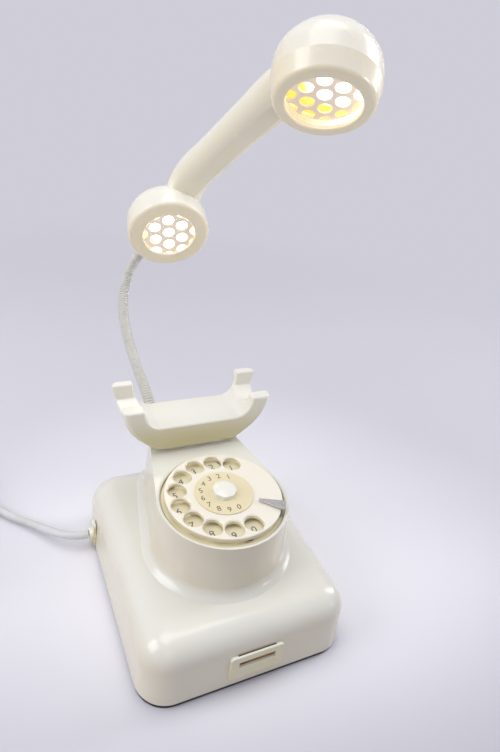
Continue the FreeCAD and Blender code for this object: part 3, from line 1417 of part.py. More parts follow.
def tail_end(last_turn):
    """Where the straight tail of the coil enters the plug."""
    return coil_point(last_turn) + coil_tangent(last_turn) * TAIL_LENGTH


def plug_frame(last_turn):
    """Frame at the coil's free end: Z along the lead into the plug."""
    return frame_placement(tail_end(last_turn), Z_UP, coil_tangent(last_turn))


def make_plug_body(last_turn):
    """Moulded plug: a drawn-in grip behind a flat-sided nose."""
    stations = [(0.0, 9.0, 9.0), (9.0, 12.0, 11.0), (18.0, 19.0, 15.0), (27.0, 27.0, 17.5),
                (PLUG_LENGTH, PLUG_WIDTH, PLUG_HEIGHT)]
    wires = []
    for z, width, height in stations:
        wires.append(rounded_rectangle(height / 2, -width / 2, width / 2, 0.35 * height, z))
    body = Part.makeLoft(wires, True, False)
    for y in (-PIN_SPACING / 2, PIN_SPACING / 2):
        body = body.cut(cylinder(PIN_ROOT_RADIUS, PLUG_LENGTH - 8.0, PLUG_LENGTH + 1.0, 0.0, y))
    return placed(body, plug_frame(last_turn))


def make_plug_pins(last_turn):
    """Two turned pins, each on a thinner root in the plug."""
    pins = []
    base = PLUG_LENGTH + PIN_ROOT_STEP
    tip = PLUG_LENGTH + PIN_LENGTH - 1.0
    bend = PIN_TIP_ROUND * (1 - math.sqrt(0.5))
    for y in (-PIN_SPACING / 2, PIN_SPACING / 2):
        pin = revolved([
            (0.0, PLUG_LENGTH - 8.0),
            (PIN_ROOT_RADIUS, PLUG_LENGTH - 8.0),
            (PIN_ROOT_RADIUS, base),
            (PIN_RADIUS, base),
            (PIN_RADIUS, tip - PIN_TIP_ROUND),
            (PIN_RADIUS - bend, tip - bend, "arc"),
            (PIN_RADIUS - PIN_TIP_ROUND, tip),
            (0.0, tip),
        ])
        pin.translate(V(0, y, 0))
        pins.append(placed(pin, plug_frame(last_turn)))
    return Part.makeCompound(pins)


def make_cord_clamp():
    """Saddle on the base plate, behind the bush."""
    x0 = -BASE_WIDTH / 2 + CLAMP_INSET
    y0, y1 = BUSH_Y - CLAMP_WIDTH / 2, BUSH_Y + CLAMP_WIDTH / 2
    block = box(x0, x0 + CLAMP_LENGTH, y0, y1, PLATE_TOP_Z, BUSH_Z + CORD_RADIUS + 2.0)
    bore = Part.makeCylinder(CORD_RADIUS, CLAMP_LENGTH, V(x0, BUSH_Y, BUSH_Z), V(1, 0, 0))
    return block.cut(bore)


def terminal_end():
    """Side of the terminal block that faces the bracket's foot."""
    return -BASE_WIDTH / 2 + TERMINAL_INSET + TERMINAL_LENGTH


def make_terminal_block():
    x1 = terminal_end()
    x0 = x1 - TERMINAL_LENGTH
    y0, y1 = BUSH_Y - TERMINAL_WIDTH / 2, BUSH_Y + TERMINAL_WIDTH / 2
    top = PLATE_TOP_Z + TERMINAL_HEIGHT
    block = box(x0, x1, y0, y1, PLATE_TOP_Z, top)
    wells = []
    for y in (BUSH_Y - TERMINAL_WIDTH / 4, BUSH_Y + TERMINAL_WIDTH / 4):
        wells.append(cylinder(1.8, top - 7.0, top, x0 + 4.0, y))
        wells.append(cylinder(1.8, top - 7.0, top, x1 - 4.0, y))
    return block.cut(wells[0].multiFuse(wells[1:]))


def make_lamp_driver():
    """Potted driver for the lamps, standing on the base plate in front of the bracket."""
    front = DRIVER_INSET - BASE_DEPTH / 2
    outline = rounded_rectangle(DRIVER_WIDTH / 2, front, front + DRIVER_LENGTH, 4.0, PLATE_TOP_Z)
    body = prism(outline, V(0, 0, DRIVER_HEIGHT))
    top = [edge for edge in body.Edges if edge.BoundBox.ZMin > PLATE_TOP_Z + DRIVER_HEIGHT - 0.1]
    return body.makeFillet(2.0, top)


def build():
    """Make every node once, by name."""
    nodes = {
        "housing": make_housing(),
        "base_plate": make_base_plate(),
        "rubber_feet": make_feet(),
        "base_screws": make_base_screws(),
        "card_frame": make_card_frame(),
        "number_card": make_number_card(),
        "dial_pan": make_dial_pan(),
        "number_plate": make_number_plate(),
        "finger_stop": make_finger_stop(),
        "dial_screws": make_dial_screws(),
        "governor_bridge": make_governor_bridge(),
        "finger_wheel": make_finger_wheel(),
        "centre_disc": make_centre_disc(),
        "centre_cap": make_centre_cap(),
        "dial_shaft": make_dial_shaft(),
        "main_gear": make_main_gear(),
        "spring_barrel": make_spring_barrel(),
        "governor_pinion": make_governor_pinion(),
        "governor_drum": make_governor_drum(),
        "cradle_fork": make_cradle_fork(),
        "cradle_plunger": make_cradle_plunger(),
        "cradle_screws": make_cradle_screws(),
        "cradle_spring": make_cradle_spring(),
        "hook_bracket": make_hook_bracket(),
        "lever_pin": make_lever_pin(),
        "hook_lever": make_hook_lever(),
        "contact_stack": make_contact_stack(),
        "hose_gland": make_hose_gland(),
        "gland_nut": make_gland_nut(),
        "gooseneck_hose": make_gooseneck_hose(),
        "lamp_lead": make_lamp_lead(),
        "handset_shell": make_handset_shell(),
        "hose_ferrule": make_hose_ferrule(),
        "ferrule_nut": make_ferrule_nut(),
        "cord_bush": make_cord_bush(),
        "cord_clamp": make_cord_clamp(),
        "terminal_block": make_terminal_block(),
        "lamp_driver": make_lamp_driver(),
    }
    for name, (side, radius, opening, ring, ring_height, height) in CUPS.items():
        nodes[name + "_cap"] = make_cap(side, radius, opening, ring)
        nodes[name + "_grille"] = make_grille(side, radius, *GRILLES[name])
        nodes[name + "_lamp"] = make_lamp(side)
        nodes[name + "_holder"] = make_holder(side, ring_height, height)
    coil, last_turn = make_cord_coil()
    nodes["cord_coil"] = coil
    nodes["mains_cord"] = swept(rounded_path(cord_points()), CORD_RADIUS)
    nodes["cord_tie"] = make_cord_tie()
    nodes["plug_body"] = make_plug_body(last_turn)
    nodes["plug_pins"] = make_plug_pins(last_turn)
    return nodes


os.makedirs("parts", exist_ok=True)
for node_name, node_shape in build().items():
    if not node_shape.isValid():
        print("not valid:", node_name)
    print(node_name, len(node_shape.Solids), "solids", round(node_shape.Volume), "mm3")
    node_shape.exportStep("parts/" + node_name + ".step")
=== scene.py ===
"""Looks of an ivory rotary desk telephone rebuilt as a lamp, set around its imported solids, in metres."""

from __future__ import annotations

import logging
import math
from dataclasses import dataclass, field
from enum import Enum

import bpy
import numpy as np
from mathutils import Matrix, Vector


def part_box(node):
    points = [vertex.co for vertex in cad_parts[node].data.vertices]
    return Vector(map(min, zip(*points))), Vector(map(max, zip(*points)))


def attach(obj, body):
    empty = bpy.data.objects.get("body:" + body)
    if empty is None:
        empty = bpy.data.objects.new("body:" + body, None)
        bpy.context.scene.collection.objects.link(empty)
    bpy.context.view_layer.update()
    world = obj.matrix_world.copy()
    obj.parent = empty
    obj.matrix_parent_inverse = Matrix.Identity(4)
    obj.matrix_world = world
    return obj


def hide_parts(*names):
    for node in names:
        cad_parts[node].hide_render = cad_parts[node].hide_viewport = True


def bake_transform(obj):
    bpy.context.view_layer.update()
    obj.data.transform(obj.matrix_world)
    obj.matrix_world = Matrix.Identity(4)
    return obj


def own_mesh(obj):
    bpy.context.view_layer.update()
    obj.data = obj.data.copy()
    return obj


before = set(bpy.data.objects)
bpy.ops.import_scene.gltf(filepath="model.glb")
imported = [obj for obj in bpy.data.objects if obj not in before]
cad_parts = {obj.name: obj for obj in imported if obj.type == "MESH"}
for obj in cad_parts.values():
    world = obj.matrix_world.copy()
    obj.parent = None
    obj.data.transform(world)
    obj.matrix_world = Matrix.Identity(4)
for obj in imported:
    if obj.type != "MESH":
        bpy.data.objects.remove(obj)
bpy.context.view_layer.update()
MM = 0.001
WELD_REACH = 1e-6
LOG = logging.getLogger("telephone_lamp")

Colour = tuple[float, float, float]
Point = tuple[float, float, float]


def paint(red: int, green: int, blue: int) -> Colour:
    """A colour as it is seen on screen, 0 to 255, turned into the linear light that shaders use.

    Args:
        red: Red as seen.
        green: Green as seen.
        blue: Blue as seen.

    Returns:
        The linear red, green and blue.
    """
    seen = np.array((red, green, blue)) / 255.0
    light = np.where(seen <= 0.04045, seen / 12.92, ((seen + 0.055) / 1.055) ** 2.4)
    return tuple(float(part) for part in light)


class Value:
    """A number that changes over a surface: a socket on which Python's arithmetic adds Math nodes."""

    def __init__(self, recipe: Recipe, socket: bpy.types.NodeSocket) -> None:
        """Keeps the recipe and the socket."""
        self.recipe = recipe
        self.socket = socket

    def _math(self, operation: str, *terms: Value | float) -> Value:
        """One Math node on these terms."""
        return self.recipe.value("ShaderNodeMath", {"operation": operation}, dict(enumerate(terms)))

    def __add__(self, other: Value | float) -> Value:
        """Sum."""
        return self._math("ADD", self, other)

    def __rsub__(self, other: float) -> Value:
        """Difference from a number."""
        return self._math("SUBTRACT", other, self)

    def __mul__(self, other: Value | float) -> Value:
        """Product."""
        return self._math("MULTIPLY", self, other)

    __radd__ = __add__
    __rmul__ = __mul__

    def ramp(self, low: float, high: float) -> Value:
        """A smooth step from 0 at low to 1 at high.

        Args:
            low: Where the step starts.
            high: Where it ends.

        Returns:
            The step's height.
        """
        sockets = {"Value": self, "From Min": low, "From Max": high}
        return self.recipe.value("ShaderNodeMapRange", {"interpolation_type": "SMOOTHSTEP"}, sockets)


class Recipe:
    """A material's node tree round one Principled shader."""

    def __init__(self, name: str) -> None:
        """Makes an empty material of this name with its shader."""
        self.material = bpy.data.materials.new(name)
        self.material.use_nodes = True
        self.tree = self.material.node_tree
        self.tree.nodes.clear()
        self.shader = self.node("ShaderNodeBsdfPrincipled")
        self.output = self.node("ShaderNodeOutputMaterial", links={"Surface": self.shader.outputs[0]})
        self.place = self.node("ShaderNodeTexCoord").outputs["Object"]

    def node(self, kind: str, settings: dict | None = None, links: dict | None = None) -> bpy.types.Node:
        """Adds a node.

        Args:
            kind: The node's type name.
            settings: Its own properties, which are set first.
            links: A value, Value or socket for each input, by name or number.

        Returns:
            The node.
        """
        made = self.tree.nodes.new(kind)
        for key, setting in (settings or {}).items():
            setattr(made, key, setting)
        for key, source in (links or {}).items():
            self.feed(made.inputs[key], source)
        return made

    def feed(self, socket: bpy.types.NodeSocket, source: object) -> None:
        """Links an input to a Value or a socket, or sets it to a constant.

        Args:
            socket: The input.
            source: What feeds it.
        """
        source = source.socket if isinstance(source, Value) else source
        if isinstance(source, bpy.types.NodeSocket):
            self.tree.links.new(source, socket)
        else:
            socket.default_value = source

    def value(self, kind: str, settings: dict | None = None, links: dict | None = None) -> Value:
        """Adds a node and wraps its first output as a Value."""
        return Value(self, self.node(kind, settings, links).outputs[0])

    def noise(self, size: float, detail: float = 3.0, stretch: Point = (1, 1, 1)) -> Value:
        """Cloudy noise in the piece's own space.

        Args:
            size: The width of a typical cloud, in metres.
            detail: How many finer layers it has.
            stretch: Scale along each axis.

        Returns:
            The noise, from 0 to 1.
        """
        mapped = self.node("ShaderNodeMapping", links={"Vector": self.place, "Scale": stretch}).outputs[0]
        links = {"Vector": mapped, "Scale": 1.0 / size, "Detail": detail}
        return Value(self, self.node("ShaderNodeTexNoise", links=links).outputs["Fac"])

    def distance(self, centre: Point) -> Value:
        """Distance of the surface from a point in the shared frame."""
        made = self.node("ShaderNodeVectorMath", {"operation": "DISTANCE"}, {0: self.place, 1: centre})
        return Value(self, made.outputs["Value"])

    def upward(self) -> Value:
        """How far the surface faces up in the piece's own space, from -1 to 1."""
        normal = self.node("ShaderNodeTexCoord").outputs["Normal"]
        return Value(self, self.node("ShaderNodeSeparateXYZ", links={0: normal}).outputs["Z"])

    def mix(self, share: Value, first: Colour | bpy.types.NodeSocket,
            second: Colour) -> bpy.types.NodeSocket:
        """Blends two colours.

        Args:
            share: How much of the second, from 0 to 1.
            first: The colour at 0.
            second: The colour at 1.

        Returns:
            The blended colour's socket.
        """
        ends = [(*c, 1.0) if isinstance(c, tuple) else c for c in (first, second)]
        links = {0: share, 6: ends[0], 7: ends[1]}
        return self.node("ShaderNodeMix", {"data_type": "RGBA", "clamp_factor": True}, links).outputs[2]

    def set(self, **inputs: object) -> Recipe:
        """Sets or links inputs of the shader; an underscore in a name stands for a space."""
        for key, source in inputs.items():
            self.feed(self.shader.inputs[key.replace("_", " ")], source)
        return self

    def bump(self, height: Value, depth: float) -> Recipe:
        """Raises the surface by a height from 0 to 1 over a depth in metres."""
        made = self.node("ShaderNodeBump", links={"Strength": 1.0, "Distance": depth, "Height": height})
        return self.set(Normal=made.outputs[0])


@dataclass(frozen=True)
class MouldedPlastic:
    """Glossy moulded plastic with a faint ripple from the mould, yellowed in soft patches, with painted light on
    top and painted shade on its sides.

    One with a colour of painted shade takes it on towards its foot, over a span of distances from a point high
    above.
    """

    name: str
    body_and_side_shade: Colour
    aged: Colour
    painted_top_light: Colour | None = None
    soil_and_shade: Colour | None = None
    shade_span: tuple[float, float] = (0.0, 1.0)
    roughness: float = 0.2
    coat: float = 0.3
    high_above: Point = (0.0, 0.06, 1.1)
    patch_size: float = 0.045
    speck_size: float = 0.0016
    wear_size: float = 0.02
    ripple_size: float = 0.006
    ripple_depth: float = 0.000012

    def material(self) -> bpy.types.Material:
        """Builds the material: aged colour in clouds, dull spots where hands have been, and the ripple."""
        recipe = Recipe(self.name)
        clouds = recipe.noise(self.patch_size, 4.0).ramp(0.35, 0.75)
        specks = recipe.noise(self.speck_size, 2.0).ramp(0.66, 0.74)
        handled = recipe.noise(self.wear_size, 5.0)
        # The body colour is the plastic's own, made yellower to paint the shade on faces that don't face up.
        colour = recipe.mix(clouds * 0.45 + specks * 0.12, self.body_and_side_shade, self.aged)
        # Painted shade: darker and yellower towards the foot.
        if self.soil_and_shade:
            low = recipe.distance(self.high_above).ramp(*self.shade_span)
            colour = recipe.mix(low, colour, self.soil_and_shade)
        # Painted light: faces that point up take on a paler colour, as if lit from above.
        if self.painted_top_light:
            top = recipe.upward().ramp(-0.1, 0.9) * (1 - clouds * 0.15)
            colour = recipe.mix(top, colour, self.painted_top_light)
        recipe.set(Base_Color=colour, Roughness=handled * 0.12 + (self.roughness - 0.06))
        recipe.set(Coat_Weight=self.coat, Coat_Roughness=0.08, IOR=1.5)
        return recipe.bump(recipe.noise(self.ripple_size, 2.0), self.ripple_depth).material


@dataclass(frozen=True)
class PlainMetal:
    """Turned or pressed metal with fine drawn lines."""

    name: str
    colour: Colour
    roughness: float = 0.3
    tarnish: Colour = (0.12, 0.1, 0.08)
    line_size: float = 0.0004
    line_depth: float = 0.000008
    stain_size: float = 0.006

    def material(self) -> bpy.types.Material:
        """Builds the material: drawn lines in the roughness and tarnish in small clouds."""
        recipe = Recipe(self.name)
        drawn = recipe.noise(self.line_size, 2.0, (0.08, 1.0, 1.0))
        stain = recipe.noise(self.stain_size, 4.0).ramp(0.55, 0.8)
        recipe.set(Base_Color=recipe.mix(stain * 0.5, self.colour, self.tarnish))
        recipe.set(Metallic=1.0, Roughness=drawn * 0.16 + (self.roughness - 0.08) + stain * 0.15)
        return recipe.bump(drawn, self.line_depth).material


@dataclass(frozen=True)
class Rubber:
    """Dull rubber, ink or painted sheet with a dusty grain."""

    name: str
    colour: Colour
    dust: Colour
    roughness: float = 0.7
    grain_size: float = 0.0007
    grain_depth: float = 0.00005
    dust_size: float = 0.012

    def material(self) -> bpy.types.Material:
        """Builds the material: dust in small clouds over a fine pimpled skin."""
        recipe = Recipe(self.name)
        grain = recipe.noise(self.grain_size, 3.0)
        clouds = recipe.noise(self.dust_size, 5.0).ramp(0.45, 0.85)
        recipe.set(Base_Color=recipe.mix(clouds * 0.5, self.colour, self.dust))
        recipe.set(Roughness=grain * 0.2 + (self.roughness - 0.1))
        return recipe.bump(grain, self.grain_depth).material


@dataclass(frozen=True)
class PrintedCard:
    """Paper card that has darkened in clouds."""

    name: str
    colour: Colour
    dark: Colour
    fibre_size: float = 0.0012
    fibre_depth: float = 0.00004
    cloud_size: float = 0.008

    def material(self) -> bpy.types.Material:
        """Builds the material: long paper fibres and foxed clouds."""
        recipe = Recipe(self.name)
        fibres = recipe.noise(self.fibre_size, 4.0, (1.0, 6.0, 6.0))
        foxed = recipe.noise(self.cloud_size, 3.0).ramp(0.4, 0.7)
        recipe.set(Base_Color=recipe.mix(foxed * 0.7 + fibres * 0.2, self.colour, self.dark), Roughness=0.8)
        return recipe.bump(fibres, self.fibre_depth).material


@dataclass(frozen=True)
class LitLamp:
    """Frosted face of a small lamp, or a wall that it lights, given as painted light, white near its middle and
    warmer towards its rim.
    """

    name: str
    core: Colour
    rim: Colour
    centre: Point
    spread: tuple[float, float]
    strength: float
    frost_size: float = 0.0012

    def material(self) -> bpy.types.Material:
        """Builds the material: the glow falls from the middle outwards, with a fine frosting."""
        recipe = Recipe(self.name)
        fall = recipe.distance(self.centre).ramp(*self.spread)
        frost = recipe.noise(self.frost_size, 2.0)
        recipe.set(Emission_Color=recipe.mix(fall, self.core, self.rim), Emission_Strength=self.strength)
        recipe.set(Base_Color=recipe.mix(frost, self.core, self.rim), Roughness=0.5)
        return recipe.material


@dataclass(frozen=True)
class GlowingGrille:
    """Thin plastic grille with a weak even glow of painted light, which lightens its bars."""

    name: str
    colour: Colour
    warm: Colour
    glow: float = 0.42
    cloud_size: float = 0.012
    grain_size: float = 0.001
    grain_depth: float = 0.00001

    def material(self) -> bpy.types.Material:
        """Builds the material: warm clouds and a weak even glow of painted light."""
        recipe = Recipe(self.name)
        colour = recipe.mix(recipe.noise(self.cloud_size, 3.0), self.colour, self.warm)
        recipe.set(Base_Color=colour, Roughness=0.45)
        # Painted light: the grille is no lamp, yet glows evenly.
        recipe.set(Emission_Color=colour, Emission_Strength=self.glow)
        return recipe.bump(recipe.noise(self.grain_size, 2.0), self.grain_depth).material


@dataclass(frozen=True)
class RibbedHose:
    """Painted skin of a ribbed metal hose, rubbed grey in places."""

    name: str
    colour: Colour
    grey: Colour
    rub_size: float = 0.004
    grain_size: float = 0.0006
    grain_depth: float = 0.00001

    def material(self) -> bpy.types.Material:
        """Builds the material: paint with smoother rubbed clouds."""
        recipe = Recipe(self.name)
        rubbed = recipe.noise(self.rub_size, 4.0).ramp(0.4, 0.75)
        recipe.set(Base_Color=recipe.mix(rubbed * 0.6, self.colour, self.grey))
        recipe.set(Roughness=0.44 - rubbed * 0.1, Coat_Weight=0.1)
        return recipe.bump(recipe.noise(self.grain_size, 2.0), self.grain_depth).material


@dataclass(frozen=True)
class LeadSheath:
    """Soft white sheath of a mains lead, a little dirty, with a satin skin."""

    name: str
    colour: Colour
    soil_and_shade: Colour
    soil_size: float = 0.014
    grain_size: float = 0.0009
    grain_depth: float = 0.00002

    def material(self) -> bpy.types.Material:
        """Builds the material: soil in soft clouds and a faint grain."""
        recipe = Recipe(self.name)
        soil = recipe.noise(self.soil_size, 5.0).ramp(0.45, 0.8)
        grain = recipe.noise(self.grain_size, 3.0)
        recipe.set(Base_Color=recipe.mix(soil * 0.6, self.colour, self.soil_and_shade))
        recipe.set(Roughness=grain * 0.2 + 0.34)
        return recipe.bump(grain, self.grain_depth).material


class Finish(Enum):
    """The finishes of this telephone's pieces."""

    # The first colour of each plastic is its own, made yellower as painted shade on its sides; the third is
    # painted light on its upward faces.
    SHELL = MouldedPlastic("ivory_shell", paint(228, 220, 200), paint(220, 209, 180), paint(229, 228, 219))
    COLLAR = MouldedPlastic("ivory_collar", paint(228, 221, 186), paint(220, 208, 162), paint(238, 236, 226))
    # The cradle's last colour is painted shade towards its foot.
    CRADLE = MouldedPlastic("ivory_cradle", paint(241, 237, 222), paint(234, 226, 200), paint(233, 231, 222),
                            soil_and_shade=paint(212, 203, 156), shade_span=(0.972, 1.004))
    HANDSET = MouldedPlastic("ivory_handset", paint(241, 234, 210), paint(234, 223, 190), paint(240, 237, 226),
                             roughness=0.26)
    CAP = MouldedPlastic("ivory_cap", paint(247, 236, 204), paint(240, 227, 190), paint(240, 237, 226),
                         roughness=0.26)
    WHEEL = MouldedPlastic("ivory_dial", paint(233, 224, 192), paint(226, 212, 168), paint(240, 235, 222),
                           roughness=0.24)
    DISC = MouldedPlastic("cream_disc", paint(230, 219, 184), paint(222, 206, 160), roughness=0.34, coat=0.1)
    KNOB = MouldedPlastic("white_cap", paint(240, 239, 230), paint(230, 226, 210), roughness=0.16)
    PLATE = MouldedPlastic("number_print", paint(234, 226, 196), paint(224, 212, 172), roughness=0.35)
    GRILLE = GlowingGrille("grille", paint(208, 199, 189), paint(212, 196, 174))
    HOLDER = MouldedPlastic("holder", paint(226, 222, 210), paint(206, 196, 168), roughness=0.4)
    DRIVER = MouldedPlastic("driver", paint(214, 214, 210), paint(190, 188, 180), roughness=0.45)
    BLOCK = MouldedPlastic("bakelite", paint(52, 34, 26), paint(28, 20, 16), roughness=0.35)
    TIE = MouldedPlastic("tie", paint(214, 214, 212), paint(196, 192, 182), roughness=0.5, coat=0.0)
    PLUG = MouldedPlastic("white_plug", paint(230, 230, 228), paint(214, 210, 198), roughness=0.4, coat=0.05)
    STEEL = PlainMetal("steel", paint(190, 188, 184), 0.34)
    BLADE = PlainMetal("polished", paint(214, 212, 212), 0.3)
    BRASS = PlainMetal("brass", paint(206, 172, 98), 0.3, paint(96, 70, 34))
    FOOT = Rubber("foot_rubber", paint(34, 33, 32), paint(78, 74, 68))
    SHEET = Rubber("black_plate", paint(38, 37, 38), paint(86, 80, 74), 0.55)
    CARD = PrintedCard("card", paint(176, 140, 78), paint(118, 84, 40))
    # Painted shade: the dark finish of the bar in the card's pocket.
    POCKET_SHADE = Rubber("pocket_shade", paint(84, 70, 40), paint(112, 96, 60), 0.75)
    PRINT = Rubber("digit_ink", paint(112, 104, 92), paint(142, 132, 112), 0.6)
    BLUE_PRINT = Rubber("plate_ink", paint(92, 98, 108), paint(122, 124, 128), 0.6)
    HOSE = RibbedHose("hose", paint(212, 211, 203), paint(194, 193, 186))
    LEAD = LeadSheath("white_cord", paint(212, 213, 214), paint(192, 190, 184))


_made: dict[str, bpy.types.Material] = {}


def coat(piece: bpy.types.Object, finish: Finish | LitLamp) -> bpy.types.Object:
    """Gives a piece one finish, making its material the first time.

    Args:
        piece: The mesh or curve.
        finish: One of this telephone's finishes, or a lamp's.

    Returns:
        The piece.
    """
    recipe = finish.value if isinstance(finish, Finish) else finish
    if recipe.name not in _made:
        _made[recipe.name] = recipe.material()
    piece.data.materials.clear()
    piece.data.materials.append(_made[recipe.name])
    return piece


def dress(finish: Finish | LitLamp, *nodes: str, crease: float = 26.0) -> None:
    """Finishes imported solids: joins their triangles for show, smooths them up to their edges and coats them.

    Args:
        finish: The finish.
        nodes: Names of the solids.
        crease: The angle in degrees from which an edge shows as an edge.
    """
    for name in nodes:
        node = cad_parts[name]
        node.data.polygons.foreach_set("use_smooth", np.ones(len(node.data.polygons), bool))
        node.modifiers.new("join", "WELD").merge_threshold = WELD_REACH
        split = node.modifiers.new("edges", "EDGE_SPLIT")
        split.split_angle = math.radians(crease)
        split.use_edge_sharp = False
        node.modifiers.new("flats", "WEIGHTED_NORMAL").keep_sharp = True
        coat(node, finish)
        LOG.info("dressed %s", name)


def linked(name: str, data: bpy.types.ID) -> bpy.types.Object:
    """A new object of this name and data, linked into the scene."""
    made = bpy.data.objects.new(name, data)
    bpy.context.scene.collection.objects.link(made)
    return made


def meshed(name: str, points: np.ndarray, faces: list[list[int]]) -> bpy.types.Object:
    """A piece of these points and faces.

    Args:
        name: The piece's name.
        points: One row of x, y and z to a point.
        faces: The numbers of each face's points.

    Returns:
        The piece, linked into the scene.
    """
    mesh = bpy.data.meshes.new(name)
    mesh.from_pydata(points.tolist(), [], faces)
    return linked(name, mesh)


def around(columns: int) -> np.ndarray:
    """Even angles once round a circle."""
    return np.linspace(0, math.tau, columns, endpoint=False)


def surface(name: str, grid: np.ndarray, capped: bool = False) -> bpy.types.Object:
    """A mesh over a grid of points: rows along the piece, columns all the way round it.

    Args:
        name: The piece's name.
        grid: Points as rows, columns and x, y, z.
        capped: Whether the first and last rows are filled.

    Returns:
        The piece, linked into the scene, with smooth faces.
    """
    rows, columns, _ = grid.shape
    index = np.arange(rows * columns).reshape(rows, columns)
    ahead = np.roll(index, -1, axis=1)
    faces = np.stack([index[:-1], ahead[:-1], ahead[1:], index[1:]], axis=-1).reshape(-1, 4).tolist()
    if capped:
        faces += [index[0, ::-1].tolist(), index[-1].tolist()]
    piece = meshed(name, grid.reshape(-1, 3), faces)
    piece.data.polygons.foreach_set("use_smooth", np.ones(len(faces), bool))
    piece.data.update()
    return piece


def carried(path: np.ndarray, radii: np.ndarray, columns: int, side: Point) -> np.ndarray:
    """Rings carried along a path: each ring lies square to the path, starting from a side direction.

    Args:
        path: Centre points, one to a ring.
        radii: One radius to a ring.
        columns: Points round each ring.
        side: A direction that is never along the path.

    Returns:
        The grid of points.
    """
    along = np.gradient(path, axis=0)
    along /= np.linalg.norm(along, axis=1, keepdims=True)
    across = np.cross(along, np.asarray(side, float))
    across /= np.linalg.norm(across, axis=1, keepdims=True)
    up = np.cross(along, across)
    turn = around(columns)[None, :, None]
    ring = across[:, None] * np.cos(turn) + up[:, None] * np.sin(turn)
    return path[:, None] + radii[:, None, None] * ring


